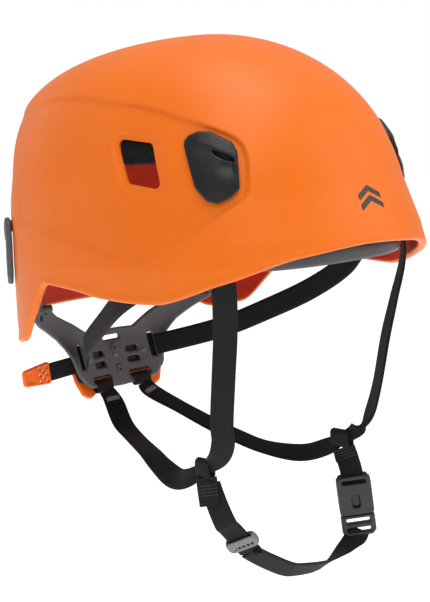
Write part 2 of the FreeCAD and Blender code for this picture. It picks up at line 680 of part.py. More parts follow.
# Buckle: local X across, Y up the strap, Z out of the face.
BUCKLE_OUT = BUCKLE_WIDE.cross(BUCKLE_UP)
turn = Rotation(BUCKLE_WIDE, BUCKLE_UP, BUCKLE_OUT, "XZY")
socket = new_body("buckle_socket", Placement(SOCKET_MID, turn))
block = box_sketch(socket, "socket_block", "XY_Plane", "sizes.socket_width", "sizes.socket_length")
pad(socket, block, "sizes.socket_thick")
hollow = box_sketch(socket, "socket_hollow", "XY_Plane", "sizes.cavity_width", "sizes.cavity_depth",
                    y="(sizes.cavity_depth - sizes.socket_length) / 2 - 0.5")
pocket(socket, hollow, "sizes.cavity_thick")
window = box_sketch(socket, "socket_window", "YZ_Plane", "11", "sizes.cavity_thick - 0.4", x="0.5")
pocket(socket, window)
web_way = box_sketch(socket, "socket_web_way", "XY_Plane", "sizes.web_width + 1", "2.2",
                     y="sizes.socket_length / 2 - 4")
pocket(socket, web_way)

PLUG_MID = SOCKET_MID - BUCKLE_UP * (size("socket_length") / 2 + size("plug_base_length") / 2 + 0.5)
plug = new_body("buckle_plug", Placement(PLUG_MID, turn))
block = box_sketch(plug, "plug_block", "XY_Plane", "sizes.socket_width", "sizes.plug_base_length")
pad(plug, block, "sizes.plug_thick")
tongue = box_sketch(plug, "plug_tongue", "XY_Plane", "sizes.tongue_width", "sizes.tongue_length",
                    y="(sizes.plug_base_length + sizes.tongue_length) / 2 - 0.1")
pad(plug, tongue, "sizes.tongue_thick")
for number, y in enumerate(("-3.6", "3.2"), start=1):
    rung = box_sketch(plug, f"plug_rung_{number}", "XY_Plane", "sizes.web_width + 1", "3.4", y=y)
    pocket(plug, rung)

for side, label in ((-1, "rear"), (1, "front")):
    prong_offset = (size("cavity_width") / 2 - size("prong_width") / 2 - 0.3) * side
    rise = size("plug_base_length") / 2 + 0.4 + size("prong_length") / 2
    mid = PLUG_MID + BUCKLE_WIDE * prong_offset + BUCKLE_UP * rise
    prong = new_body(f"buckle_prong_{label}", Placement(mid, turn))
    block = box_sketch(prong, f"prong_{label}_block", "XY_Plane", "sizes.prong_width", "sizes.prong_length")
    pad(prong, block, "sizes.prong_thick")

# ---------------------------------------------------------------- strap anchors inside the shell
for phi, label in ((41.5, "right"), (-41.5, "left")):
    plate = doc.addObject("Part::Box", f"strap_anchor_{label}_plate")
    bind(plate, Length="sizes.anchor_width", Width="sizes.anchor_height", Height="sizes.anchor_thick")
    seat = square_seat(phi, 10, size("shell_wall") + 4.0 + size("anchor_thick"))
    corner = Vector(-size("anchor_width") / 2, -size("anchor_height") / 2, 0)
    plate.Placement = seat.multiply(Placement(corner, Rotation()))
    stud = doc.addObject("Part::Cylinder", f"strap_anchor_{label}_stud")
    bind(stud, Radius="sizes.stud_radius", Height="sizes.anchor_thick + sizes.anchor_stud")
    stud.Placement = seat
    anchor = doc.addObject("Part::Fuse", f"strap_anchor_{label}")
    anchor.Base = plate
    anchor.Tool = stud
    keep(anchor, f"strap_anchor_{label}")

doc.recompute()
os.makedirs("parts", exist_ok=True)
for name, obj in nodes:
    state = [word for word in obj.State if word in ("Invalid", "Error")]
    shape = obj.Shape
    if state or shape.isNull() or not shape.isValid():
        raise RuntimeError(f"{name} did not build: {state}")
    shape.exportStep(f"parts/{name}.step")
    box = shape.optimalBoundingBox(False, False)
    print(f"{name}: solids {len(shape.Solids)} volume {shape.Volume:.0f} "
          f"x {box.XMin:.1f}..{box.XMax:.1f} y {box.YMin:.1f}..{box.YMax:.1f} "
          f"z {box.ZMin:.1f}..{box.ZMax:.1f}")
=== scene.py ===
"""Arborist climbing helmet: detailed visual model on the CAD frame.

Lengths are millimetres until a mesh is made. The wearer faces -Y and the wearer's right is -X.
Angles round the helmet start at the front and are positive towards the wearer's right.
"""
import bpy
import math
import numpy as np
from mathutils import Vector, Matrix


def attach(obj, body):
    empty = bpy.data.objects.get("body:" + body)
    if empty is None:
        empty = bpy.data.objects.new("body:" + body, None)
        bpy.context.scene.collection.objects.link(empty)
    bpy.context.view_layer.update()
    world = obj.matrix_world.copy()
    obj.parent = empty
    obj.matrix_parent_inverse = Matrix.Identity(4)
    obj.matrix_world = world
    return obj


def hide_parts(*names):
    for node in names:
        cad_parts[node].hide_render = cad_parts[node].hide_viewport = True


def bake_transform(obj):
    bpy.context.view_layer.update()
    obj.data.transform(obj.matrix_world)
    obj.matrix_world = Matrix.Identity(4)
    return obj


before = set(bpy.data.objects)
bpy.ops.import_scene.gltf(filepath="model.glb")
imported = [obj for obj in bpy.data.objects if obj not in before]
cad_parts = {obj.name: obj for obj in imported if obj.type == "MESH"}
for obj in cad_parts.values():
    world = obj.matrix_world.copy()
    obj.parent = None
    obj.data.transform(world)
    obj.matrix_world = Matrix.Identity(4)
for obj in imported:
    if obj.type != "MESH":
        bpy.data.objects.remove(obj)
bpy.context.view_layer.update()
MM = 0.001


# ================================================================ materials
def new_material(name, color, rough=0.5, **sockets):
    """Principled material; returns (material, node tree, shader)."""
    mat = bpy.data.materials.new(name)
    mat.use_nodes = True
    tree = mat.node_tree
    shader = tree.nodes["Principled BSDF"]
    shader.inputs["Base Color"].default_value = (*color, 1)
    shader.inputs["Roughness"].default_value = rough
    for key, value in sockets.items():
        shader.inputs[key.replace("_", " ")].default_value = value
    return mat, tree, shader


def node(tree, kind, **values):
    """Add a node; keys that are sockets set sockets, others set properties."""
    item = tree.nodes.new(kind)
    for key, value in values.items():
        label = key.replace("_", " ")
        if label in item.inputs:
            item.inputs[label].default_value = value
        else:
            setattr(item, key, value)
    return item


def coords(tree, scale, kind="Object"):
    """Object coordinates (or UV) scaled by a vector."""
    source = node(tree, "ShaderNodeTexCoord")
    mapping = node(tree, "ShaderNodeMapping")
    mapping.inputs["Scale"].default_value = scale
    tree.links.new(source.outputs[kind], mapping.inputs["Vector"])
    return mapping.outputs["Vector"]


def mix_color(tree, factor, a, b):
    """Mix two colours (tuples or sockets) by a factor socket."""
    mix = node(tree, "ShaderNodeMix", data_type="RGBA")
    tree.links.new(factor, mix.inputs[0])
    for socket, value in ((mix.inputs[6], a), (mix.inputs[7], b)):
        if isinstance(value, tuple):
            socket.default_value = (*value, 1)
        else:
            tree.links.new(value, socket)
    return mix.outputs[2]


def paint(tree, shader, factor, a, b):
    """Mix two colours by a factor socket and use the result as the base colour."""
    tree.links.new(mix_color(tree, factor, a, b), shader.inputs["Base Color"])


def ramp(tree, factor, low, high):
    """Map factor from low..high to 0..1."""
    item = node(tree, "ShaderNodeMapRange")
    item.inputs["From Min"].default_value = low
    item.inputs["From Max"].default_value = high
    tree.links.new(factor, item.inputs["Value"])
    return item.outputs["Result"]


def bump(tree, shader, height, strength, distance):
    """Chain a bump onto the shader's normal."""
    item = node(tree, "ShaderNodeBump", Strength=strength, Distance=distance)
    tree.links.new(height, item.inputs["Height"])
    if shader.inputs["Normal"].is_linked:
        tree.links.new(shader.inputs["Normal"].links[0].from_socket, item.inputs["Normal"])
    tree.links.new(item.outputs["Normal"], shader.inputs["Normal"])


def noise(tree, vector, scale, detail=4.0, rough=0.55):
    """Factor of a noise texture."""
    item = node(tree, "ShaderNodeTexNoise", Scale=scale, Detail=detail, Roughness=rough)
    tree.links.new(vector, item.inputs["Vector"])
    return item.outputs["Fac"]


def math_node(tree, operation, a, b=0.0):
    """Result of a maths node; a and b are numbers or sockets."""
    item = node(tree, "ShaderNodeMath", operation=operation)
    for socket, value in zip(item.inputs, (a, b)):
        if isinstance(value, (int, float)):
            socket.default_value = value
        else:
            tree.links.new(value, socket)
    return item.outputs[0]


def shell_paint():
    """Satin orange ABS with a faint orange peel, cloudier on the inside."""
    mat, tree, shader = new_material("shell_orange", (0.80, 0.155, 0.004), 0.42,
                                     Specular_IOR_Level=0.28)
    vec = coords(tree, (1, 1, 1))
    tone = ramp(tree, noise(tree, vec, 14, 3), 0.35, 0.7)
    base = mix_color(tree, tone, (0.79, 0.150, 0.003), (0.82, 0.163, 0.006))
    specks = ramp(tree, noise(tree, vec, 900, 2), 0.62, 0.75)
    speck_share = math_node(tree, "MULTIPLY", specks, 0.10)
    paint(tree, shader, speck_share, base, (0.92, 0.24, 0.04))
    scuff = ramp(tree, noise(tree, coords(tree, (1, 1, 5)), 60, 5, 0.7), 0.35, 0.8)
    tree.links.new(math_node(tree, "ADD", math_node(tree, "MULTIPLY", scuff, 0.08), 0.40),
                   shader.inputs["Roughness"])
    bump(tree, shader, noise(tree, vec, 1300, 2), 0.05, 0.0002)
    return mat


def shell_inside_painted_shade():
    """Inner face of the shell: same resin, painted darker and redder than the outside as painted
    shade and painted bounce light inside the dome; mould-flow streaks, duller.
    """
    # Darker, redder copy of the shell orange: painted shade and painted reflected light for the
    # inside of the dome.
    mat, tree, shader = new_material("shell_inner_painted_shade", (0.62, 0.030, 0.008), 0.5,
                                     Specular_IOR_Level=0.2)
    flow = ramp(tree, noise(tree, coords(tree, (1, 1, 6)), 22, 4), 0.3, 0.75)
    paint(tree, shader, flow, (0.56, 0.024, 0.006), (0.67, 0.038, 0.010))
    bump(tree, shader, noise(tree, coords(tree, (1, 1, 1)), 800, 2), 0.08, 0.0002)
    return mat


def plastic(name, color, rough, grain=2200.0, depth=0.12, tint=0.25, gloss=0.5):
    """Moulded plastic with a fine spark-eroded grain and slight wear variation."""
    mat, tree, shader = new_material(name, color, rough, Specular_IOR_Level=gloss)
    vec = coords(tree, (1, 1, 1))
    cloud = ramp(tree, noise(tree, vec, 45, 4), 0.3, 0.75)
    light = tuple(min(1.0, c * (1 + tint) + 0.004) for c in color)
    paint(tree, shader, cloud, color, light)
    tree.links.new(math_node(tree, "ADD", math_node(tree, "MULTIPLY", cloud, 0.12), rough - 0.05),
                   shader.inputs["Roughness"])
    bump(tree, shader, noise(tree, vec, grain, 2), depth, 0.0002)
    return mat


def webbing(name, color, rib=0.9, pick=1.25):
    """Woven tape: UV is in millimetres across (u) and along (v)."""
    mat, tree, shader = new_material(name, color, 0.75, Sheen_Weight=0.05, Sheen_Roughness=0.4,
                                     Specular_IOR_Level=0.2)
    vec = coords(tree, (1, 1, 1), "UV")
    split = node(tree, "ShaderNodeSeparateXYZ")
    tree.links.new(vec, split.inputs[0])
    across = math_node(tree, "MULTIPLY", split.outputs[0], 2 * math.pi / rib)
    along = math_node(tree, "MULTIPLY", split.outputs[1], 2 * math.pi / pick)
    zigzag = math_node(tree, "PINGPONG", split.outputs[0], 1.9)
    slant = math_node(tree, "ADD", along, math_node(tree, "MULTIPLY", zigzag, 2.4))
    warp = math_node(tree, "SINE", across)
    weft = math_node(tree, "SINE", slant)
    weave = math_node(tree, "ADD", math_node(tree, "MULTIPLY", warp, weft),
                      math_node(tree, "MULTIPLY", weft, 0.5))
    height = ramp(tree, weave, -1.5, 1.5)
    dark = tuple(c * 0.55 for c in color)
    light = tuple(min(1.0, c * 1.5 + 0.004) for c in color)
    fuzz = noise(tree, coords(tree, (1, 1, 1)), 700, 4)
    shade = math_node(tree, "MULTIPLY", height, ramp(tree, fuzz, 0.2, 0.8))
    paint(tree, shader, shade, dark, light)
    bump(tree, shader, height, 0.55, 0.00035)
    bump(tree, shader, fuzz, 0.2, 0.0002)
    return mat


def foam_material():
    """Expanded bead foam: packed round beads with pits between them."""
    mat, tree, shader = new_material("bead_foam", (0.006, 0.007, 0.006), 0.7,
                                     Specular_IOR_Level=0.15)
    vec = coords(tree, (1, 1, 1))
    cells = node(tree, "ShaderNodeTexVoronoi", Scale=260.0)
    tree.links.new(vec, cells.inputs["Vector"])
    edge = ramp(tree, cells.outputs["Distance"], 0.0, 0.75)
    paint(tree, shader, edge, (0.0075, 0.0080, 0.0078), (0.0020, 0.0022, 0.0020))
    bump(tree, shader, math_node(tree, "SUBTRACT", 1.0, edge), 0.6, 0.0009)
    return mat


def mesh_fabric():
    """Open spacer mesh over foam pads."""
    mat, tree, shader = new_material("pad_mesh", (0.035, 0.035, 0.040), 0.8, Sheen_Weight=0.1)
    vec = coords(tree, (1, 1, 1))
    cells = node(tree, "ShaderNodeTexVoronoi", Scale=620.0, feature="F1")
    tree.links.new(vec, cells.inputs["Vector"])
    holes = ramp(tree, cells.outputs["Distance"], 0.1, 0.42)
    paint(tree, shader, holes, (0.010, 0.010, 0.012), (0.052, 0.052, 0.058))
    bump(tree, shader, holes, 0.7, 0.0007)
    return mat


SHELL = shell_paint()
SHELL_IN_PAINTED_SHADE = shell_inside_painted_shade()
ORANGE = plastic("tab_orange", (0.96, 0.150, 0.008), 0.42, 1800, 0.08, 0.03, 0.25)
BLACK = plastic("black_nylon", (0.013, 0.013, 0.014), 0.40)
CLIP = plastic("clip_black", (0.0085, 0.0085, 0.0092), 0.36, 2200, 0.06, 0.25, 0.32)
CRADLE = plastic("cradle_grey", (0.096, 0.094, 0.099), 0.46)
KEEPER = plastic("keeper_grey", (0.150, 0.155, 0.153), 0.5)
GREY = plastic("grey_nylon", (0.060, 0.060, 0.063), 0.42)
WEB = webbing("black_webbing", (0.0100, 0.0105, 0.0110))
LOOP_WEB = webbing("loop_webbing", (0.012, 0.012, 0.013), 1.1, 1.6)
FOAM = foam_material()
PAD = mesh_fabric()
THREAD = webbing("white_thread", (0.62, 0.62, 0.60), 0.35, 0.7)
DARK_THREAD = webbing("grey_thread", (0.09, 0.09, 0.10), 0.35, 0.7)
INK = plastic("mark_black", (0.012, 0.012, 0.013), 0.3, 2500, 0.04, 0.1)


# ================================================================ mesh helpers
def add_piece(name, verts, faces, mat, body, uv=None, flat_angle=None, blend=None):
    """Mesh object from millimetre points; rides on a body, or, when a blend is given, is left
    unattached with its transform baked in.
    """
    mesh = bpy.data.meshes.new(name)
    points = [tuple(float(c) * MM for c in v) for v in verts]
    mesh.from_pydata(points, [], [tuple(f) for f in faces])
    mesh.validate()
    mesh.update()
    mesh.materials.append(mat)
    mesh.shade_smooth()
    if flat_angle:
        mesh.set_sharp_from_angle(angle=math.radians(flat_angle))
    if uv is not None:
        layer = mesh.uv_layers.new(name="UVMap")
        loops = np.zeros(len(mesh.loops), dtype=np.int32)
        mesh.loops.foreach_get("vertex_index", loops)
        layer.data.foreach_set("uv", np.asarray(uv, dtype=np.float32)[loops].ravel())
    obj = bpy.data.objects.new(name, mesh)
    bpy.context.scene.collection.objects.link(obj)
    if blend:
        body_a, body_b, start, end = blend
        tuple(c * MM for c in start)
        tuple(c * MM for c in end)
        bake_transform(obj)
    else:
        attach(obj, body)
    return obj


def catmull(rows, per_span, closed=False):
    """Catmull-Rom samples through rows of any length."""
    pts = np.asarray(rows, float)
    count = len(pts)
    out = []
    spans = count if closed else count - 1
    for i in range(spans):
        if closed:
            p0, p1, p2, p3 = (pts[(i + k) % count] for k in (-1, 0, 1, 2))
        else:
            p0, p1, p2, p3 = pts[max(i - 1, 0)], pts[i], pts[i + 1], pts[min(i + 2, count - 1)]
        for k in range(per_span):
            f = k / per_span
            out.append(0.5 * (2 * p1 + (p2 - p0) * f + (2 * p0 - 5 * p1 + 4 * p2 - p3) * f * f
                              + (3 * p1 - p0 - 3 * p2 + p3) * f ** 3))
    if not closed:
        out.append(pts[-1])
    return np.array(out)


def rounded(polygon, radius, steps=6):
    """Polygon with its corners rounded to radius."""
    pts = [np.array(p, float) for p in polygon]
    out = []
    for i, corner in enumerate(pts):
        before, after = pts[i - 1] - corner, pts[(i + 1) % len(pts)] - corner
        la, lb = np.linalg.norm(before), np.linalg.norm(after)
        ua, ub = before / la, after / lb
        half = 0.5 * math.acos(max(-1, min(1, float(ua @ ub))))
        cut = min(radius / max(math.tan(half), 1e-6), 0.48 * la, 0.48 * lb)
        a, b = corner + ua * cut, corner + ub * cut
        for k in range(steps + 1):
            f = k / steps
            out.append((1 - f) ** 2 * a + 2 * f * (1 - f) * corner + f * f * b)
    return np.array(out)


def box_outline(x, y, width, height, radius, turn=0.0):
    """Rounded rectangle outline, turned by an angle in degrees."""
    c, s = math.cos(math.radians(turn)), math.sin(math.radians(turn))
    w, h = width / 2, height / 2
    corners = [(-w, -h), (w, -h), (w, h), (-w, h)]
    return rounded([(x + c * a - s * b, y + s * a + c * b) for a, b in corners], radius)


def circle_outline(x, y, radius, steps=20):
    """Circle as an even polygon."""
    return np.array([(x + radius * math.cos(t), y + radius * math.sin(t))
                     for t in np.linspace(0, 2 * math.pi, steps, endpoint=False)])


def nearest(points, outlines):
    """Signed distance (inside positive) to outlines and the nearest outline point."""
    pts = np.asarray(points, float)
    best = np.full(len(pts), 1e9)
    near = np.zeros_like(pts)
    inside = np.zeros(len(pts), bool)
    for outline in outlines:
        line = np.asarray(outline, float)
        for a, b in zip(line, np.roll(line, -1, axis=0)):
            d = b - a
            length2 = float(d @ d)
            if length2 < 1e-12:
                continue
            t = np.clip(((pts - a) @ d) / length2, 0, 1)
            q = a + t[:, None] * d
            dist = np.hypot(*(pts - q).T)
            closer = dist < best
            best[closer] = dist[closer]
            near[closer] = q[closer]
            if (a[1] > pts[:, 1]).any() or (b[1] > pts[:, 1]).any():
                crosses = (a[1] > pts[:, 1]) != (b[1] > pts[:, 1])
                if abs(d[1]) > 1e-12:
                    x_hit = a[0] + (pts[:, 1] - a[1]) / d[1] * d[0]
                    inside ^= crosses & (pts[:, 0] < x_hit)
    return np.where(inside, best, -best), near


def smooth(t):
    """Ease from 0 to 1 as t goes from 0 to 1."""
    t = np.clip(t, 0, 1)
    return t * t * (3 - 2 * t)


def boundary_edges(quads):
    """Edges that belong to one quad only, each running the way its quad does."""
    edges = {}
    for q in quads:
        for a, b in ((q[0], q[1]), (q[1], q[2]), (q[2], q[3]), (q[3], q[0])):
            if (b, a) in edges:
                del edges[(b, a)]
            else:
                edges[(a, b)] = True
    return list(edges)


def outlined_grid(outlines, step):
    """Square grid cut to the outlines: points, quads, points in use, points on an edge."""
    outer = np.asarray(outlines[0])
    low, high = outer.min(0) - step, outer.max(0) + step
    nx, ny = (np.ceil((high - low) / step).astype(int) + 1)
    gx, gy = np.meshgrid(low[0] + step * np.arange(nx), low[1] + step * np.arange(ny),
                         indexing="ij")
    pts = np.stack([gx.ravel(), gy.ravel()], 1)
    centre = np.stack([(gx[:-1, :-1] + step / 2).ravel(), (gy[:-1, :-1] + step / 2).ravel()], 1)
    cells = (nearest(centre, outlines)[0] > 0).reshape(nx - 1, ny - 1)
    index = np.arange(nx * ny).reshape(nx, ny)
    quads = np.stack([index[:-1, :-1], index[1:, :-1], index[1:, 1:], index[:-1, 1:]], -1)[cells]
    uses = np.bincount(quads.ravel(), minlength=nx * ny)
    on_edge = (uses > 0) & (uses < 4)
    depth, near = nearest(pts, outlines)
    pts[on_edge] = near[on_edge]
    # Points just inside an edge are evened out after the edge points have moved onto it.
    close = (uses == 4) & (depth < 2.2 * step)
    for _ in range(2):
        total = np.zeros_like(pts)
        hits = np.zeros(len(pts))
        for a, b in ((0, 1), (1, 2), (2, 3), (3, 0)):
            np.add.at(total, quads[:, a], pts[quads[:, b]])
            np.add.at(total, quads[:, b], pts[quads[:, a]])
            np.add.at(hits, quads[:, a], 1)
            np.add.at(hits, quads[:, b], 1)
        pts[close] = 0.5 * pts[close] + 0.5 * total[close] / hits[close][:, None]
    return pts, quads, uses > 0, on_edge


def plate(name, outlines, place, mat, slot_name, body, step=0.6, thick=3.0, edge=0.8, front=None,
          back=None):
    """Plate with rounded edges from 2D outlines (the first is outside, the rest are holes).

    place(x, y, h) maps plan points and height to 3D millimetres; front and back add relief.
    """
    pts, quads, used, on_edge = outlined_grid(outlines, step)
    depth = np.where(on_edge, 0.0, np.maximum(nearest(pts, outlines)[0], 0.0))
    t = np.clip(depth / edge, 0, 1)
    rise = min(edge, thick / 2)
    wall = thick / 2 - rise
    top = wall * (depth > 0) + rise * np.sqrt(np.maximum(1 - (1 - t) ** 2, 0))
    bottom = -top
    if front is not None:
        top = top + front(pts[:, 0], pts[:, 1], depth) * (depth > 0)
    if back is not None:
        bottom = bottom + back(pts[:, 0], pts[:, 1], depth) * (depth > 0)
    # A plate thicker than its rounding keeps an upright wall along its outline.
    top[on_edge], bottom[on_edge] = wall, -wall
    verts = [place(x, y, h) for height in (top, bottom)
             for (x, y), h in zip(pts[used], height[used])]
    base = len(verts) // 2
    number = np.full(len(pts), -1)
    number[used] = np.arange(base)
    quads = number[quads]
    faces = [tuple(q) for q in quads] + [tuple(base + q[::-1]) for q in quads]
    faces += [(b, a, base + a, base + b) for a, b in boundary_edges(quads)]
    return add_piece(name, verts, faces, mat, body, uv=np.tile(pts[used], (2, 1)),
                     flat_angle=40)


def raised(place, lift):
    """The same placement, lifted off its surface."""
    return lambda x, y, h: place(x, y, h + lift)


def mirrored(half):
    """Outline from its +X half, mirrored."""
    return list(half) + [(-x, y) for x, y in reversed(half) if x > 0]


def framed(origin, x_dir, z_dir):
    """place() function for a rigid local frame, matching the CAD's frame of the same name."""
    x = Vector(x_dir).normalized()
    z = Vector(z_dir)
    z = (z - x * z.dot(x)).normalized()
    y = z.cross(x)
    origin = Vector(origin)
    return lambda a, b, h: origin + x * float(a) + y * float(b) + z * float(h)


# ================================================================ shell surface
TOP, HALF_WIDTH, FRONT, REAR = 124.0, 109.0, 139.5, 140.0
WALL, RECESS = 4.6, 2.4
RIM_FLARE = 0.056
REAR_TUCK, TUCK_DROP, TUCK_END = 0.012, 30, 50
AXIS_GAP = 0.02      # the last ring of a dome stops this far below its top
CROWN_SHARE = 0.999  # and at this share of the way up
# Rim height at angles from the front.
RIM = [(0, -5), (20, -8), (40, -20), (60, -31), (80, -29), (95, -25), (110, -23),
       (122, -46), (132, -64), (142, -67), (155, -51), (180, -51)]


def skin_radius(phi, z, grow=0.0):
    """Distance of the shell skin from the Z axis (arrays allowed)."""
    phi, z = np.asarray(phi, float), np.asarray(z, float)
    t = np.clip(z / (TOP + grow), 0, 1)
    flare = RIM_FLARE * np.where(z > 0, np.maximum(1 - z / 30, 0) ** 1.5,
                                 np.minimum(1 - 0.03 * z, 1.35))
    tuck = (REAR_TUCK * np.clip((TUCK_DROP - z) / TUCK_DROP, 0, 1)
            * np.clip((z + TUCK_END) / TUCK_END, 0, 1))
    front = 0.908 * np.sqrt(1 - t ** 2.2) + flare
    rear = 1.032 * np.sqrt(1 - t ** 5) - tuck
    power = 2.57 - 0.45 * t * t
    c = np.cos(phi)
    scale = front * (0.5 + 0.5 * c) + rear * (0.5 - 0.5 * c)
    depth = np.where(c > 0, FRONT, REAR) + grow
    return scale * ((np.abs(np.sin(phi)) / (HALF_WIDTH + grow)) ** power
                    + (np.abs(c) / depth) ** power) ** (-1 / power)


def rim_curve():
    """Rim height as a smooth function of the angle in degrees."""
    a = np.array([r[0] for r in RIM], float)
    z = np.array([r[1] for r in RIM], float)
    d = np.diff(z) / np.diff(a)
    slope = np.zeros(len(a))
    for i in range(1, len(a) - 1):
        if d[i - 1] * d[i] > 0:
            slope[i] = 2 * d[i - 1] * d[i] / (d[i - 1] + d[i])

    def height(phi_deg):
        angle = np.minimum(np.abs(phi_deg), 180 - 1e-6)
        i = np.clip(np.searchsorted(a, angle, side="right") - 1, 0, len(a) - 2)
        span = a[i + 1] - a[i]
        f = (angle - a[i]) / span
        return (z[i] + (z[i + 1] - z[i]) * f * f * (3 - 2 * f) + f * (1 - f) ** 2 * span * slope[i]
                + f * f * (f - 1) * span * slope[i + 1])
    return height


rim_height = rim_curve()


def running_length(*coordinates):
    """Length along a line of points, from its start."""
    return np.concatenate([[0], np.cumsum(np.hypot(*(np.diff(c) for c in coordinates)))])


# Flattened coordinates: s along the plan at mid height, l up the side profile.
PLAN_PHI = np.radians(np.linspace(0, 180, 721))
plan_radius = skin_radius(PLAN_PHI, 40.0)
PLAN_LENGTH = running_length(plan_radius * np.sin(PLAN_PHI), plan_radius * np.cos(PLAN_PHI))
SIDE_Z = np.linspace(-80, 123.9, 2000)
SIDE_LENGTH = running_length(SIDE_Z, skin_radius(math.pi / 2, SIDE_Z))


def flatten(phi, z):
    """(s, l) of points on one side; phi in radians, its sign dropped."""
    return np.stack([np.interp(np.abs(phi), PLAN_PHI, PLAN_LENGTH),
                     np.interp(z, SIDE_Z, SIDE_LENGTH)], -1)


def unflatten(sl):
    """Angle and height of flattened points."""
    return (np.interp(sl[..., 0], PLAN_LENGTH, PLAN_PHI),
            np.interp(sl[..., 1], SIDE_LENGTH, SIDE_Z))


# Side panel and vent corners, as angle in degrees and height.
PANEL = [(31.3, 28), (30.3, 40), (30.4, 52), (32.5, 59.5), (38.5, 66), (48, 73), (58, 79),
         (70.5, 84), (90, 89), (106, 91.5), (122, 92), (134, 91), (150, 89), (164, 87), (168, 84),
         (169, 50), (168, 18), (163, 16), (150, 15.5), (127, 11), (112.5, 7.5), (96.5, 1), (79, -6),
         (69, -9.8), (62.5, -10.6), (56.5, -7), (47, 5), (40.5, 14.5), (34.2, 22.5)]
panel_line = catmull([tuple(flatten(math.radians(p), z)) for p, z in PANEL], 5, closed=True)
VENT = [(75.6, 63.4), (59.9, 59.4), (56.2, 32.4), (69.2, 36.8)]
vent_line = rounded([flatten(math.radians(p), z) for p, z in VENT], 4.2)


def shell_depth(phi, z):
    """How far the outside is set in from the plain skin: side panels and vent dishes."""
    flat = flatten(phi, z).reshape(-1, 2)
    panel_in = nearest(flat, [panel_line])[0].reshape(np.shape(z))
    degrees = np.degrees(np.abs(phi))
    high = smooth((z - 60) / 30)
    rear = smooth((degrees - 60) / 50)
    width = 2.1 + 4.1 * high * rear + 13.0 * high * smooth((degrees - 112) / 30)
    low_fade = 1 - smooth((degrees - 126) / 6) * smooth((45 - z) / 30)
    depth = RECESS * smooth(panel_in / width) * low_fade
    vent_out = -nearest(flat, [vent_line])[0].reshape(np.shape(z))
    return depth + 1.9 * smooth((6.2 - vent_out) / 4.0)


def round_quads(index):
    """Quads of a grid of vertex numbers that closes on itself along its first axis."""
    following = np.roll(index, -1, 0)
    return np.stack([index[:, :-1], following[:, :-1], following[:, 1:], index[:, 1:]], -1)


def on_circle(radius, phi, z):
    """Points at a distance from the Z axis."""
    return np.stack([-radius * np.sin(phi), -radius * np.cos(phi), z], -1)


def close_crown(verts, faces, ring, height, flip):
    """Fan from the last ring of a dome to a point on the Z axis."""
    cap = len(verts)
    verts.append((0, 0, height))
    for a, b in zip(ring, np.roll(ring, -1)):
        faces.append((b, cap, a) if flip else (a, b, cap))


def rolled_edge(verts, faces, index, profile):
    """Close a dome's lower edge; profile gives each ring's share across and its drop."""
    count = index.size
    outer = np.array([verts[i] for i in index[:, 0]])
    inner = np.array([verts[i + count] for i in index[:, 0]])
    chain = [index[:, 0]]
    for share, drop in profile:
        ring = outer * (1 - share) + inner * share
        ring[:, 2] -= drop
        chain.append(len(verts) + np.arange(len(ring)))
        verts.extend(ring)
    chain.append(index[:, 0] + count)
    for a, b in zip(chain, chain[1:]):
        following = np.roll(a, -1), np.roll(b, -1)
        faces.extend(zip(following[0], a, b, following[1]))


def build_shell():
    """Closed shell: outside, inside, rolled rim and vent walls share one grid."""
    columns, rows = 720, 190
    phi = np.radians(-180 + 360 * np.arange(columns) / columns)
    rim = rim_height(np.degrees(phi))[:, None]
    lift = np.sin(np.linspace(0, 1, rows) * CROWN_SHARE * math.pi / 2)
    grid_z = rim + (TOP - AXIS_GAP - rim) * lift
    grid_phi = np.repeat(phi[:, None], rows, 1)
    # Quads whose middle is in a vent go; the ring of points they leave moves onto its outline.
    sl = flatten(grid_phi, grid_z)
    beside = np.roll(sl, -1, 0)
    middle = 0.25 * (sl[:, :-1] + sl[:, 1:] + beside[:, :-1] + beside[:, 1:])
    in_vent = nearest(middle.reshape(-1, 2), [vent_line])[0].reshape(middle.shape[:2]) > 0
    index = np.arange(columns * rows).reshape(columns, rows)
    quads = round_quads(index)
    keep = quads[~in_vent]
    gone = np.bincount(quads[in_vent].ravel(), minlength=index.size) > 0
    kept = np.bincount(keep.ravel(), minlength=index.size) > 0
    ring = (gone & kept).reshape(columns, rows)
    ring_phi, ring_z = unflatten(nearest(sl[ring], [vent_line])[1])
    grid_phi[ring] = ring_phi * np.where(grid_phi[ring] < 0, -1, 1)
    grid_z[ring] = ring_z
    # Outside with its recesses and lip, inside a wall further in.
    lip = 0.55 * np.exp(-((grid_z - rim) / 2.6) ** 2)
    r_out = skin_radius(grid_phi, grid_z) - shell_depth(grid_phi, grid_z) + lip
    f = smooth((grid_z - 70) / 30)
    inner_z = grid_z * (1 - f) + f * (grid_z * (TOP - WALL) / TOP)
    r_in = np.minimum(skin_radius(grid_phi, inner_z, -WALL), r_out - 1.6)
    verts = [*on_circle(r_out, grid_phi, grid_z).reshape(-1, 3),
             *on_circle(r_in, grid_phi, inner_z).reshape(-1, 3)]
    count = index.size
    faces = [tuple(q) for q in keep] + [tuple(q[::-1] + count) for q in keep]
    close_crown(verts, faces, index[:, -1], TOP, False)
    close_crown(verts, faces, index[:, -1] + count, TOP - WALL, True)
    turns = (math.pi * k / 4 for k in (1, 2, 3))
    rolled_edge(verts, faces, index,
                [(0.5 - 0.5 * math.cos(a), 0.5 * WALL * math.sin(a) * 0.75) for a in turns])
    # Vent walls.
    rim_set = set(index[:, 0]) | set(index[:, -1])
    faces += [(b, a, a + count, b + count) for a, b in boundary_edges(keep)
              if not (a in rim_set and b in rim_set)]
    obj = add_piece("shell_visual", verts, faces, SHELL, "helmet", flat_angle=50)
    # The inside takes the darker, redder copy of the shell colour: painted shade and painted
    # reflected light.
    obj.data.materials.append(SHELL_IN_PAINTED_SHADE)
    shade = np.zeros(len(obj.data.polygons), dtype=np.int32)
    shade[len(keep):2 * len(keep)] = 1
    obj.data.polygons.foreach_set("material_index", shade)
    return obj


shell = build_shell()
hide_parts("outer_shell")

LINER_GAP, LINER_THICK, LINER_LOW = 0.8, 11.0, 48.5


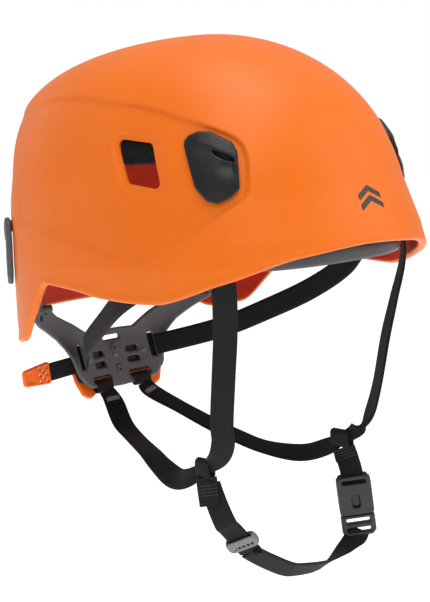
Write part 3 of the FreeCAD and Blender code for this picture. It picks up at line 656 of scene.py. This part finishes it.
def build_liner():
    """Foam dome between two insets of the skin, cut level, with an eased lower edge."""
    columns, rows = 240, 70
    grows = (-WALL - LINER_GAP, -WALL - LINER_GAP - LINER_THICK)
    phi = np.radians(-180 + 360 * np.arange(columns) / columns)
    grid_phi = np.repeat(phi[:, None], rows, 1)
    lift = np.sin(np.linspace(0, CROWN_SHARE, rows) * math.pi / 2)
    index = np.arange(columns * rows).reshape(columns, rows)
    quads = round_quads(index).reshape(-1, 4)
    verts = []
    for grow in grows:
        z = LINER_LOW + (TOP + grow - AXIS_GAP - LINER_LOW) * lift
        z = np.repeat(z[None, :], columns, 0)
        verts.extend(on_circle(skin_radius(grid_phi, z, grow), grid_phi, z).reshape(-1, 3))
    faces = [tuple(q) for q in quads] + [tuple(q[::-1] + index.size) for q in quads]
    close_crown(verts, faces, index[:, -1], TOP + grows[0], False)
    close_crown(verts, faces, index[:, -1] + index.size, TOP + grows[1], True)
    rolled_edge(verts, faces, index, [(0.12, 0.9), (0.35, 1.4), (0.65, 1.4), (0.88, 0.9)])
    return add_piece("liner_visual", verts, faces, FOAM, "helmet", flat_angle=55)


liner = build_liner()
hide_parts("crown_liner")


# ================================================================ clips
def clip_place(phi_deg, z_mid):
    """place() for a clip: plan x towards the front, y up, h above the skin."""
    phi = math.radians(phi_deg)
    side = 1 if phi_deg > 0 else -1
    r = float(skin_radius(phi, z_mid))
    seat = np.array([-r * math.sin(phi), -r * math.cos(phi)])
    out = np.array([-math.sin(phi), -math.cos(phi)])
    forward = np.array([-out[1], out[0]]) * side

    def place(x, y, h):
        p = seat + forward * x
        angle = math.atan2(-p[0], -p[1])
        z = z_mid + y
        radius = float(skin_radius(angle, z)) + h
        return (-radius * math.sin(angle), -radius * math.cos(angle), z)
    return place


CLIP_FRONT = rounded([(-15.5, 14), (-12.5, 17.5), (-6, 19.6), (2, 19), (14, 12.5), (16.3, 7),
                      (15.3, -14), (10, -18.5), (3, -21.5), (-3, -19.5), (-9, -12)], 4.5, 5)
CLIP_REAR = rounded([(-10, 18), (-6, 22), (6, 22), (10, 18), (11, 0), (9.5, -17), (4, -22),
                     (-4, -22), (-9.5, -17), (-11, 0)], 4, 5)
CLIP_SLOT = np.array([(2, 8.6), (8, 6.3), (13.2, 3.6), (13.6, 1.6), (9, 2.8), (3, 6.4)])
FRONT_CLIP_AT, REAR_CLIP_AT = (41, 45), (139.5, -7)  # angle in degrees, height


def front_clip_relief(x, y, depth):
    """Raised rim along the top and front, hooded slot under it, scooped tongue below."""
    rim_zone = (smooth((y + 0.45 * x - 8.5) / 3.0)
                + smooth((x - 12.2) / 1.5) * smooth((y + 6) / 6))
    slot_in = nearest(np.stack([x, y], 1), [CLIP_SLOT])[0]
    scoop = np.exp(-(((x - 9.0) / 4.0) ** 2 + ((y + 1.0) / 4.2) ** 2))
    belly = 0.9 * smooth((depth - 1.0) / 6.0)
    return (1.1 * np.clip(rim_zone, 0, 1) - 3.0 * smooth((slot_in + 0.5) / 1.0)
            - 1.0 * scoop + belly - 0.6)


def rear_clip_relief(x, y, depth):
    """Low crown with a shallow dish inside its border, except at the upper end."""
    return 0.8 * smooth(depth / 7.0) - 0.5 * smooth((depth - 2.4) / 0.8) * smooth((9 - y) / 3)


for side, label in ((1, "right"), (-1, "left")):
    front_at = clip_place(FRONT_CLIP_AT[0] * side, FRONT_CLIP_AT[1])
    rear_at = clip_place(REAR_CLIP_AT[0] * side, REAR_CLIP_AT[1])
    clip = plate(f"lamp_clip_front_{label}_visual", [CLIP_FRONT], raised(front_at, -0.1), CLIP,
                 "clip_plastic", f"clip_front_{label}", step=0.5, thick=3.6, edge=1.5,
                 front=front_clip_relief)
    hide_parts(f"lamp_clip_front_{label}")
    rear = plate(f"lamp_clip_rear_{label}_visual", [CLIP_REAR], raised(rear_at, 3.0), GREY,
                 "clip_plastic", f"clip_rear_{label}", step=0.5, thick=3.8, edge=1.4,
                 front=rear_clip_relief)
    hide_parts(f"lamp_clip_rear_{label}")
    plate(f"lamp_clip_rear_{label}_foot", [box_outline(0, 16.5, 15, 7, 2)], raised(rear_at, 1.3),
          BLACK, "clip_plastic", f"clip_rear_{label}", step=0.7, thick=2.6, edge=0.5)

# Plain double chevron on the front of the shell.
MARK_AT = (-5.3, 18.8)
CHEVRON = [(-9.5, -6.5), (0, -1.4), (9.5, -6.5), (9.5, -3.2), (0, 2.0), (-9.5, -3.2)]
for tag, rise in (("low", 0.0), ("high", 5.8)):
    plate(f"front_mark_{tag}", [[(x, y + rise) for x, y in CHEVRON]],
          raised(clip_place(*MARK_AT), 0.05), INK, "black_plastic", "helmet",
          step=0.4, thick=0.5, edge=0.15)


# ================================================================ headband, pads
BAND_SCALE = 1.9  # millimetres of outline per degree round the helmet
BAND_INSET, BROW_INSET = 16.1, 20.2


def band_place(grow):
    """place() along the skin inset by grow: x runs round the helmet, y is the height."""
    def place(x, y, h):
        phi = math.radians(x / BAND_SCALE)
        r = float(skin_radius(phi, y, grow)) + h
        return (-r * math.sin(phi), -r * math.cos(phi), y)
    return place


band_outline = rounded([(-150, -17), (150, -17), (156, -12), (156, 2), (148, 8), (-148, 8),
                        (-156, 2), (-156, -12)], 3)
band_holes = [box_outline(x * side, -4.5, 13, 7, 2.4)
              for side in (-1, 1) for x in (12, 36, 62, 92, 118)]
band = plate("headband_visual", [band_outline, *band_holes], band_place(-BAND_INSET), GREY,
             "grey_plastic", "helmet", step=1.0, thick=2.2, edge=0.8)
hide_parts("front_headband")


PAD_SWELL = 1.6  # how far a pad's face rises over its bound edge


def soft_pad(name, outline, place, node_name, channels):
    """Crowned comfort pad: full in the middle, thin at its bound edge, with sewn channels."""
    def puff(x, y, depth):
        swell = PAD_SWELL * np.sqrt(np.clip(depth / 7.0, 0, 1))
        for line in channels:
            off = nearest(np.stack([x, y], 1), [line])[0]
            swell = swell * (1 - 0.55 * np.exp(-(np.abs(off) / 1.3) ** 2))
        return swell
    pad = plate(name, [outline], place, PAD, "pad_fabric", "helmet", step=1.1, thick=1.4, edge=0.7,
                front=puff, back=lambda x, y, depth: -puff(x, y, depth))
    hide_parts(node_name)


brow = rounded([(-96, -14), (96, -14), (102, -9), (102, 1), (94, 6), (-94, 6), (-102, 1),
                (-102, -9)], 4)
soft_pad("forehead_pad_visual", brow, band_place(-BROW_INSET), "forehead_pad",
         [np.array([(x, -13.5), (x + 0.05, 5.5)]) for x in (-60, -20, 20, 60)])

# The middle of the crown pad lies this far in from the skin.
CROWN_PAD_INSET = WALL + LINER_GAP + LINER_THICK + 0.4 + 2.5


def crown_place(x, y, h):
    """The crown pad lies on the underside of the liner: find the height of each plan point."""
    phi = math.atan2(-x, -y)
    grow = -CROWN_PAD_INSET
    target = math.hypot(x, y)
    low, high = 40.0, TOP + grow - 0.001
    for _ in range(26):
        mid = 0.5 * (low + high)
        if float(skin_radius(phi, mid, grow)) > target:
            low = mid
        else:
            high = mid
    return (x, y, low + h)


crown_outline = rounded([(-36, -56), (36, -56), (36, 64), (-36, 64)], 30, 14)
soft_pad("crown_pad_visual", crown_outline, crown_place, "crown_pad",
         [np.array([(-35, y), (35, y + 0.05)]) for y in (-22, 4, 30)])


# ================================================================ webbing
TAPE_WIDTH, TAPE_THICK, TAPE_STEPS = 15.0, 1.5, 14
STITCH_PITCH, STITCH_WIDE, STITCH_HIGH, STITCH_SIDES = 1.5, 0.28, 0.22, 6
# Rings of one stitch: place as a share of the pitch, and share of its full size.
STITCH_RINGS = ((-0.42, 0.45), (-0.2, 1.0), (0.2, 1.0), (0.42, 0.45))


def web_frames(rows, per_span=TAPE_STEPS):
    """Centre, across and normal vectors along a webbing path, as in the CAD."""
    samples = catmull(rows, per_span)
    ahead = np.vstack([samples[1:], samples[-1:]])[:, :3]
    behind = np.vstack([samples[:1], samples[:-1]])[:, :3]
    tangent = ahead - behind
    tangent /= np.linalg.norm(tangent, axis=1)[:, None]
    across = samples[:, 3:6]
    across = across - tangent * np.sum(across * tangent, axis=1)[:, None]
    across /= np.linalg.norm(across, axis=1)[:, None]
    normal = np.cross(tangent, across)
    return samples[:, :3], across, normal, samples[:, 6]


def tape_section():
    """Section of a tape with a thin selvage: (u for the UV, share of half width, height)."""
    steps = [-1 + k / 4 for k in range(9)]
    line = [(u, 0.5) for u in steps] + [(1, 0)] + [(u, -0.5) for u in steps[::-1]] + [(-1, 0)]
    section = []
    for u, h in line:
        selvage = abs(u) == 1
        cord = 0.06 * np.sign(h) * (abs(u) == 0.75)
        section.append((u, u * (0.98 if selvage and h else 1.0),
                        h * (0.62 if selvage else 1.0) + cord))
    return section


def ribbon(name, rows, mat, body, thick=TAPE_THICK, per_span=TAPE_STEPS, blend=None):
    """Webbing with a rounded selvage; UVs are millimetres across and along."""
    mid, across, normal, share = web_frames(rows, per_span)
    along = np.concatenate([[0], np.cumsum(np.linalg.norm(np.diff(mid, axis=0), axis=1))])
    section = tape_section()
    verts, uv = [], []
    for i in range(len(mid)):
        half = 0.5 * TAPE_WIDTH * share[i]
        for u, wide, height in section:
            verts.append(mid[i] + across[i] * (half * wide) + normal[i] * (thick * height))
            uv.append((half * u + (100 if height < 0 else 0), along[i]))
    n = len(section)
    faces = []
    for i in range(len(mid) - 1):
        for k in range(n):
            a, b = i * n + k, i * n + (k + 1) % n
            faces.append((a, b, b + n, a + n))
    faces.append(tuple(range(n - 1, -1, -1)))
    faces.append(tuple((len(mid) - 1) * n + k for k in range(n)))
    return add_piece(name, verts, faces, mat, body, uv=uv, flat_angle=60, blend=blend)


def stitch_rows(name, mid, along, normal, length, width, rows, body, mat, lift):
    """Rows of short raised stitches that run along a direction, lifted off a tape's middle."""
    normal = normal - along * (normal @ along)
    normal /= np.linalg.norm(normal)
    across = np.cross(normal, along)
    verts, faces, uv = [], [], []
    count = max(int(length / STITCH_PITCH), 1)
    for row in range(rows):
        off = (row / (rows - 1) - 0.5) * width
        for k in range(count):
            start = (k + 0.5) / count * length - length / 2
            base = len(verts)
            for share, scale in STITCH_RINGS:
                s = start + share * STITCH_PITCH
                for q in range(STITCH_SIDES):
                    t = math.pi * 2 * q / STITCH_SIDES
                    verts.append(mid + along * s
                                 + across * (off + STITCH_WIDE * scale * math.cos(t))
                                 + normal * (lift + STITCH_HIGH * scale * math.sin(t)))
                    uv.append((q * 0.2, s))
            last = base + STITCH_SIDES * (len(STITCH_RINGS) - 1)
            for ring in range(base, last, STITCH_SIDES):
                for q in range(STITCH_SIDES):
                    p, r = ring + q, ring + (q + 1) % STITCH_SIDES
                    faces.append((p, r, r + STITCH_SIDES, p + STITCH_SIDES))
            faces.append(tuple(base + q for q in reversed(range(STITCH_SIDES))))
            faces.append(tuple(last + q for q in range(STITCH_SIDES)))
    return add_piece(name, verts, faces, mat, body, uv=uv)


def tack(name, path, at, length, width, rows, body, mat, lift):
    """Rows of stitches across a tape, on both of its faces, at a share of its path."""
    mid, across, normal, _ = web_frames(path)
    i = int(at * (len(mid) - 1))
    for face, tag in ((-1, "a"), (1, "b")):
        stitch_rows(f"{name}_{tag}", mid[i], across[i], normal[i] * face, length, width, rows,
                    body, mat, lift)


# A path is a list of rows: x, y, z, the direction across the tape, the share of its width.
# The straps of a side meet at its apex, where they are gathered in the junction loop.
APEX = {"right": (-58.4, -43.2, -140.5), "left": (64, -41, -147)}
FRONT_PATH = {
    "right": [(-79, -89, 8, 0.75, -0.66, 0, 1), (-75, -91, -22, 0.6, -0.8, 0, 1),
              (-70, -84, -52, 0.5, -0.86, 0, 1), (-68, -78, -76, 0.45, -0.9, 0, 1),
              (-64.5, -69, -108, 0.45, -0.9, 0, 1), (-62, -66, -121, 0.45, -0.85, -0.1, 1),
              (-60, -58, -132, 0.5, -0.7, -0.4, 0.85), (-58.4, -43.6, -140.5, 0, 0, -1, 0.5)],
    "left": [(79, -89, 8, -0.75, -0.66, 0, 1), (78.6, -91, -22, -0.6, -0.8, 0, 1),
             (75, -84, -52, -0.5, -0.86, 0, 1), (72, -78, -76, -0.45, -0.9, 0, 1),
             (68, -72, -108, -0.45, -0.9, 0, 1), (66, -65, -128, -0.3, -0.9, 0.3, 0.95),
             (64.5, -54, -140, 0, -0.6, 0.8, 0.7), (64, -41.4, -147, 0, 0, 1, 0.5)]}
REAR_PATH = {
    "right": [(-58.4, -42.8, -140.5, 0, 0, 1, 0.5), (-61.4, -30, -148, 0.3, 0.3, 0.9, 0.8),
              (-59, -14, -151, 0.75, 0, 0.65, 1), (-51.7, 10, -147.1, 0.94, -0.3, 0.2, 1),
              (-43.7, 30, -144, 0.94, -0.34, 0, 1), (-31, 62, -140.8, 0.94, -0.34, -0.1, 1),
              (-24, 84, -134.8, 0.97, -0.2, 0, 1), (-16.5, 103, -122.5, 1, 0, 0.1, 1),
              (-17, 109.4, -115.8, 1, 0, 0.1, 0.85)],
    "left": [(64, -40.6, -147, 0, 0, 1, 0.5), (62, -30, -153.5, 0.3, 0.3, 0.9, 0.8),
             (57, -8, -160, 0.75, 0.1, 0.6, 1), (50, 22, -158.3, 0.93, 0.26, 0.3, 1),
             (43, 45, -151.2, 0.93, 0.26, 0.25, 1), (36.7, 60, -144.4, 0.93, 0.26, 0.25, 1),
             (29, 84, -133.5, 0.97, 0.2, 0.15, 1), (19, 103, -122, 1, 0, 0.1, 1),
             (17, 109.4, -115.8, 1, 0, 0.1, 0.85)]}
BAND_PATH = {
    "right": [(-31, 111, -89, 0, 0, 1, 1), (-50, 84, -76, 0, 0, 1, 1),
              (-72, 34, -55, 0, 0, 1, 1), (-87, -8, -36, 0, 0, 1, 1),
              (-88, -40, -21, 0, 0, 1, 1), (-83.9, -54.3, -11, 0, 0, 1, 1)],
    "left": [(31, 111, -90, 0, 0, 1, 1), (59, 70, -79, 0, 0, 1, 1), (74, 34, -65, 0, 0, 1, 1),
             (85, 0, -50, 0, 0, 1, 1), (88, -32, -32, 0, 0, 1, 1),
             (83.9, -54.3, -12, 0, 0, 1, 1)]}
TAIL_PATH = {
    "right": [(-58.4, -43.8, -146.4, 0.6, -0.78, 0.1, 0.87),
              (-58.8, -45, -154, 0.6, -0.78, 0.1, 0.87),
              (-59.1, -46.4, -163.5, 0.6, -0.78, 0.1, 0.87)],
    "left": [(64, -42, -153.3, 0.3, -0.95, 0, 1.05), (64, -43.5, -157, 0.45, -0.9, 0, 1.05),
             (64, -45, -161, 0.6, -0.8, 0, 1.05)]}

for side, label in ((-1, "right"), (1, "left")):
    strap = ribbon(f"front_strap_{label}_visual", FRONT_PATH[label], WEB, "helmet")
    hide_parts(f"front_strap_{label}")
    strap = ribbon(f"rear_strap_{label}_visual", REAR_PATH[label], WEB, None,
                   blend=("helmet", "nape", (60 * side, 0, -150), (20 * side, 104, -118)))
    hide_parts(f"rear_strap_{label}", f"rear_strap_end_{label}")
    tack(f"rear_tack_{label}", REAR_PATH[label], 0.9, 11, 3.4, 5, "nape", THREAD, 0.75)
    strap = ribbon(f"headband_strap_{label}_visual", BAND_PATH[label], WEB, None,
                   blend=("helmet", "nape", (74 * side, 30, -55), (34 * side, 108, -88)))
    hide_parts(f"headband_strap_{label}", f"headband_strap_end_{label}")


def folded_loop(name, centre, run, down, inside_long, inside_wide, width, body):
    """Webbing folded round a flat hole; rounded ends, closed ring."""
    run = Vector(run).normalized()
    down = Vector(down)
    down = (down - run * down.dot(run)).normalized()
    across = down.cross(run)
    centre = Vector(centre)
    radius = inside_wide / 2
    straight = inside_long / 2 - radius
    path = []
    for end in (1, -1):
        for k in range(13):
            t = -end * math.pi / 2 + math.pi * k / 12
            path.append((end * straight + math.cos(t) * radius, math.sin(t) * radius,
                         math.cos(t), math.sin(t)))
    # Across the webbing as a share of its width, and out from the hole as a share of its wall.
    profile = [(-0.5, 0.25), (-0.47, 0.85), (-0.44, 1.0), (-0.2, 1.0), (0, 1.0), (0.2, 1.0),
               (0.44, 1.0), (0.47, 0.85), (0.5, 0.25), (0.47, 0.0), (0.2, 0.0), (0, 0.0),
               (-0.2, 0.0), (-0.47, 0.0)]
    verts, uv, faces = [], [], []
    total = 0.0
    for i, (l, w, out_l, out_w) in enumerate(path):
        if i:
            total += math.hypot(l - path[i - 1][0], w - path[i - 1][1])
        for a, h in profile:
            d = TAPE_THICK * h
            verts.append(centre + down * (l + out_l * d) + across * (w + out_w * d)
                         + run * (a * width))
            uv.append((a * width, total))
    n = len(profile)
    for i in range(len(path)):
        j = (i + 1) % len(path)
        for k in range(n):
            m = (k + 1) % n
            faces.append((i * n + k, i * n + m, j * n + m, j * n + k))
    return add_piece(name, verts, faces, LOOP_WEB, body, uv=uv, flat_angle=60)


for side, label, loop_width in ((-1, "right", 13), (1, "left", 17)):
    loop = folded_loop(f"junction_loop_{label}_visual", APEX[label], (0, 1, 0), (0, 0, -1),
                       9.4, 3.4, loop_width, "helmet")
    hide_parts(f"junction_loop_{label}")
    ribbon(f"junction_tail_{label}_visual", TAIL_PATH[label], LOOP_WEB, "helmet", thick=4.4,
           per_span=8)
    tack(f"junction_stitch_{label}", TAIL_PATH[label], 0.5, 13, 6, 4, "helmet", DARK_THREAD, 2.2)
    sewn = folded_loop(f"rear_loop_{label}_visual", (17 * side, 113.2, -112.4), (1, 0, 0),
                       (0, -0.3, -1), 6.5, 3.9, 14, "nape")
    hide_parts(f"rear_strap_loop_{label}")


# ================================================================ chin strap, keeper, buckle
KEEPER_MID = np.array([-39.3, -51.2, -190.8])
STRAIGHT = np.array([0.654, 0.022, -0.757])
CHIN_ACROSS = (0.461, -0.807, 0.375)
chin = [(-57, -45.6, -150, 0.55, -0.82, 0.1, 0.85), (-56, -48.6, -161.5, 0.5, -0.84, 0.2, 0.95),
        *((*(KEEPER_MID + STRAIGHT * along), *CHIN_ACROSS, 1) for along in (-20, -13.2, 9, 12)),
        (-19.5, -51, -208, 0.1, -0.75, 0.65, 1), (-3, -51, -217.7, 0, -0.72, 0.7, 1),
        (8.4, -51, -221.3, 0, -0.72, 0.7, 1), (27.9, -51, -224, 0.1, -0.75, 0.6, 1),
        (41.9, -50.6, -221.8, 0.4, -0.76, 0.4, 1), (54, -50.2, -217.2, 0.65, -0.7, 0.2, 1),
        (62.5, -50, -213.2, 0.76, -0.65, 0, 1), (66.2, -50, -208.6, 0.76, -0.65, 0, 1)]
strap = ribbon("chin_strap_visual", chin, WEB, None,
               blend=("helmet", "plug", (-30, -50, -205), (52, -50, -218)))
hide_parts("chin_strap", "chin_strap_end")
buckle_web = [(64, -44.4, -158.4, 0.6, -0.8, 0, 1), (63.6, -47.5, -165.5, 0.7, -0.7, 0, 1),
              (62.9, -50, -172.4, 0.76, -0.65, 0, 1)]
strap = ribbon("buckle_strap_visual", buckle_web, WEB, "helmet", per_span=8)
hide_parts("buckle_strap")

keeper_place = framed(KEEPER_MID, STRAIGHT, (-0.603, -0.594, -0.538))
keeper_outlines = [box_outline(0, 0, 9.4, 20.4, 3.6),
                   *(circle_outline(1.4, y, 0.95, 14) for y in (-6, -2.9, 0.2, 3.3, 6.4))]
for name, lift in (("outer", 2.2), ("inner", -2.2)):
    face = plate(f"keeper_{name}_visual", keeper_outlines, raised(keeper_place, lift), KEEPER,
                 "grey_plastic", "keeper", step=0.45, thick=1.3, edge=0.55)
    if name == "outer":
        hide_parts("strap_keeper")
for side, tag in ((-1, "a"), (1, "b")):
    plate(f"keeper_side_{tag}", [box_outline(0, 9.1 * side, 8.2, 1.8, 0.8)], keeper_place, KEEPER,
          "grey_plastic", "keeper", step=0.4, thick=5.0, edge=0.6)

# The buckle's own directions and half lengths.
BUCKLE_UP = Vector((-0.1, 0, 0.995)).normalized()
BUCKLE_WIDE = Vector((0.76, -0.65, 0))
BUCKLE_WIDE = (BUCKLE_WIDE - BUCKLE_UP * BUCKLE_WIDE.dot(BUCKLE_UP)).normalized()
BUCKLE_OUT = BUCKLE_WIDE.cross(BUCKLE_UP)
SOCKET_HALF, PLUG_HALF, PRONG_HALF = 13.5, 7.5, 8.0
SOCKET_MID = Vector((64, -50, -184))
PLUG_MID = SOCKET_MID - BUCKLE_UP * (SOCKET_HALF + PLUG_HALF + 0.5)


def buckle_piece(name, outlines, place, body, **shape):
    """Plate in the buckle's own plastic."""
    return plate(name, outlines, place, BLACK, "black_plastic", body, **shape)


def buckle_place(mid):
    """place() for a buckle part round its middle."""
    return lambda x, y, h: (mid + BUCKLE_WIDE * float(x) + BUCKLE_UP * float(y)
                            + BUCKLE_OUT * float(h))


socket_place = buckle_place(SOCKET_MID)
socket_outlines = [rounded([(-9.5, 13.5), (9.5, 13.5), (11.5, 9), (11.5, -13.5), (-11.5, -13.5),
                            (-11.5, 9)], 2.6),
                   box_outline(0, 9.4, 15.8, 2.4, 1.1), box_outline(0, -4, 5, 9, 2.2)]
for name, lift in (("front", 3.45), ("back", -3.45)):
    part = buckle_piece(f"socket_{name}_visual", socket_outlines, raised(socket_place, lift),
                        "helmet", step=0.45, thick=2.0, edge=0.8)
    if name == "front":
        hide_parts("buckle_socket")
for side, tag in ((-1, "a"), (1, "b")):
    for height, wall in (("top", box_outline(10.4 * side, 8.4, 2.0, 6.2, 0.9)),
                         ("low", box_outline(10.6 * side, -9.8, 1.6, 6.2, 0.7))):
        buckle_piece(f"socket_wall_{tag}_{height}", [wall], socket_place, "helmet", step=0.4,
                     thick=6.6, edge=0.5)

plug_place = buckle_place(PLUG_MID)
plug_outline = rounded([(-11.5, 7.5), (11.5, 7.5), (11.5, -4.5), (9, -7.5), (-9, -7.5),
                        (-11.5, -4.5)], 2)
plug_slots = [box_outline(0, y, 16, 3.2, 1.4) for y in (-3.4, 3.2)]
plug_body = buckle_piece("plug_visual", [plug_outline, *plug_slots], plug_place, "plug",
                         step=0.45, thick=5.8, edge=1.3)
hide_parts("buckle_plug")
buckle_piece("plug_tongue_visual", [box_outline(0, 15.5, 8, 17, 2.5)], plug_place, "plug",
             step=0.5, thick=3.4, edge=0.9)
prong_outline = rounded([(-1.3, -8), (1.3, -8), (1.5, 3), (1.2, 7), (0, 8), (-1.2, 7),
                         (-1.5, 3)], 0.8)
for side, label in ((-1, "rear"), (1, "front")):
    mid = PLUG_MID + BUCKLE_WIDE * (8.3 * side) + BUCKLE_UP * (PLUG_HALF + 0.4 + PRONG_HALF)
    prong = buckle_piece(f"prong_{label}_visual", [prong_outline], buckle_place(mid),
                         f"prong_{label}", step=0.35, thick=4.3, edge=0.9)
    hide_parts(f"buckle_prong_{label}")


# ================================================================ nape cradle, cover, pull tab
# Radius of the cradle's curve round the Z axis at each height, from the lowest up.
CRADLE_RADII = [(-125, 109.0), (-105, 116.0), (-90, 120.6), (-75, 124.2), (-45, 125.1),
                (-20, 125.5)]
cradle_curve = catmull(CRADLE_RADII, 12)


def cradle_place(lift=0.0):
    """place() on the cradle's curve: x across, z the height, h behind it."""
    def place(x, z, h):
        radius = float(np.interp(z, cradle_curve[:, 0], cradle_curve[:, 1]))
        depth = math.sqrt(max(radius * radius - x * x, 0))
        k = (radius + h + lift) / radius
        return (x * k, 1.0 + depth * k, z)
    return place


CRADLE_LINE = [(0, -74.5), (9, -74.5), (20, -75), (34, -66), (52, -57), (66, -45), (74, -41),
               (80, -42), (81.5, -48), (80.5, -56), (75, -61), (66, -66), (54, -74), (46, -82),
               (41, -90), (38, -103), (31, -111), (20, -114), (0, -115)]
COVER_LINE = [(0, -86), (27, -86), (33.5, -89), (37.5, -96), (36.5, -108), (33, -117),
              (27, -120.5), (20, -118), (14, -113), (0, -113)]
holes = []
for side in (-1, 1):
    holes += [*(box_outline(15 * side, z, 10, 3.6, 1.7) for z in (-90.5, -98)),
              box_outline(32 * side, -90, 4.4, 17, 1.8),
              box_outline(17 * side, -107.5, 17, 4.4, 1.8),
              circle_outline(66.4 * side, -50, 2.6),
              box_outline(73 * side, -54.5, 2.6, 4.4, 1.2, 30 * side)]
holes.append(box_outline(0, -80.5, 14, 3.2, 1.5))
cradle = plate("cradle_visual", [rounded(mirrored(CRADLE_LINE), 4.0, 4), *holes], cradle_place(),
               CRADLE, "cradle_plastic", "nape", step=0.8, thick=3.0, edge=1.1)
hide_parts("nape_cradle")
# Black sheet between cradle and cover, behind the slots: painted shade that keeps the slots dark
# instead of showing the orange cover.
plate("cradle_slot_shade_sheet", [box_outline(0, -94.9, 76, 24.8, 4)], cradle_place(2.9), BLACK,
      "cradle_plastic", "nape", step=1.0, thick=1.6, edge=0.6)
for tag, x, z in (("a", 0, -87.5), ("b", 0.5, -103)):
    plate(f"cradle_boss_{tag}", [box_outline(x, z, 5.0, 6.4, 1.6), circle_outline(x, z, 1.2, 14)],
          cradle_place(-1.9), CRADLE, "cradle_plastic", "nape", step=0.4, thick=1.4, edge=0.5)
cover = plate("cover_visual", [rounded(mirrored(COVER_LINE), 5.0, 4)], cradle_place(6.4), ORANGE,
              "orange_plastic", "nape", step=0.9, thick=3.4, edge=1.5,
              front=lambda x, z, d: -0.6 * smooth((d - 5) / 1.2) + 0.5 * smooth((d - 9) / 5))
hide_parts("nape_cover")

# The tail leaves the cradle sideways; distances along it start at its first slot.
TAIL_OUT = Vector((-0.995, 0, -0.07)).normalized()
TAIL_START = Vector((-46.5, 117.6, -95))
tail_rows = [(*(TAIL_START + TAIL_OUT * along), 0, 0, 1, 0.85) for along in (-8.5, 0, 6, 14)]
tail = ribbon("pull_strap_visual", tail_rows, WEB, None, per_span=8,
              blend=("nape", "pull", (-40, 117.6, -94.6), (-58, 117.6, -95.8)))
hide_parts("pull_strap")
tab_place = framed(TAIL_START + TAIL_OUT * 23.3, TAIL_OUT, (0, -1, 0))
dots = [circle_outline(x, y, 0.75, 12)
        for x, column in ((-8.2, (-4.8, 0, 4.8)), (-5.4, (-2.4, 2.4)), (-2.6, (-4.8, 0, 4.8)))
        for y in column]
tab_line = rounded([(-11, -8), (-11, 8), (9.5, 5.8), (11, 4.2), (11, -4.2), (9.5, -5.8)], 2.2)
tab = plate("pull_tab_visual", [tab_line, *dots], tab_place, ORANGE, "orange_plastic", "pull",
            step=0.45, thick=3.4, edge=1.2,
            front=lambda x, y, d: -0.8 * smooth((x - 1.5) / 2.5) * smooth((d - 1.4) / 1.6))
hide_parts("pull_tab")

# ================================================================ CAD nodes that stay
for name, mat in (("headband_studs", BLACK), ("nape_rivets", CRADLE), ("nape_pivot_pins", CRADLE),
                  ("strap_anchor_right", BLACK), ("strap_anchor_left", BLACK)):
    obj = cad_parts[name]
    for slot_item in obj.material_slots:
        slot_item.material = mat

# ================================================================ stage, light, camera
FLOOR_HALF, FLOOR_LEVEL = 9, -0.62  # metres
floor_mesh = bpy.data.meshes.new("floor")
floor_mesh.from_pydata([(x * FLOOR_HALF, y * FLOOR_HALF, FLOOR_LEVEL)
                        for x, y in ((-1, -1), (1, -1), (1, 1), (-1, 1))], [], [(0, 1, 2, 3)])
floor = bpy.data.objects.new("floor", floor_mesh)
bpy.context.scene.collection.objects.link(floor)
floor_mat, _, _ = new_material("floor_white", (0.9, 0.9, 0.9), 0.9,
                               Emission_Color=(1, 1, 1, 1), Emission_Strength=0.62)
floor_mesh.materials.append(floor_mat)


def area(name, location, target, size_m, energy):
    """White rectangular lamp that faces its target; metres and watts."""
    data = bpy.data.lights.new(name, "AREA")
    data.shape = "RECTANGLE"
    data.size, data.size_y = size_m
    data.energy = energy
    lamp = bpy.data.objects.new(name, data)
    lamp.location = location
    aim = Vector(target) - Vector(location)
    lamp.rotation_euler = aim.to_track_quat("-Z", "Y").to_euler()
    bpy.context.scene.collection.objects.link(lamp)


area("key", (-0.9, -1.2, 1.9), (0, 0, 0), (1.4, 1.4), 17)
area("top", (0.3, -0.3, 2.2), (0, 0, 0), (1.6, 1.6), 26)
area("front", (1.6, -1.5, 0.9), (0, 0, -0.02), (1.0, 1.4), 7)
area("rear", (-0.6, 1.9, 0.8), (0, 0, 0), (1.2, 1.2), 3)
# The world lights the part at half the level that the camera sees behind it.
WORLD_LIGHT, BACKDROP = 0.50, 1.0
world = bpy.data.worlds.new("studio")
bpy.context.scene.world = world
world.use_nodes = True
sky = world.node_tree
seen = sky.nodes.new("ShaderNodeLightPath")
level = sky.nodes.new("ShaderNodeMapRange")
level.inputs["To Min"].default_value = WORLD_LIGHT
level.inputs["To Max"].default_value = BACKDROP
sky.links.new(seen.outputs["Is Camera Ray"], level.inputs["Value"])
sky.links.new(level.outputs["Result"], sky.nodes["Background"].inputs["Strength"])
sky.nodes["Background"].inputs["Color"].default_value = (1, 1, 1, 1)
bpy.context.scene.view_settings.view_transform = "Standard"

# Camera: place in metres, direction of view, upward direction, focal length in millimetres.
CAMERA_PLACE = (-0.599, -0.6953, 0.0747)
CAMERA_LOOK, CAMERA_UP = (0.6444, 0.7532, -0.1318), (0.1381, 0.055, 0.9889)
FOCAL_LENGTH, SENSOR_WIDTH = 84.74, 36
camera = bpy.data.cameras.new("camera")
camera.lens = FOCAL_LENGTH
camera.sensor_width = SENSOR_WIDTH
camera.clip_start = 0.05
camera_obj = bpy.data.objects.new("camera", camera)
bpy.context.scene.collection.objects.link(camera_obj)
look = Vector(CAMERA_LOOK).normalized()
up = Vector(CAMERA_UP)
up = (up - look * up.dot(look)).normalized()
right = look.cross(up)
turn = Matrix((right, up, -look)).transposed().to_4x4()
camera_obj.matrix_world = Matrix.Translation(Vector(CAMERA_PLACE)) @ turn
bpy.context.scene.camera = camera_obj
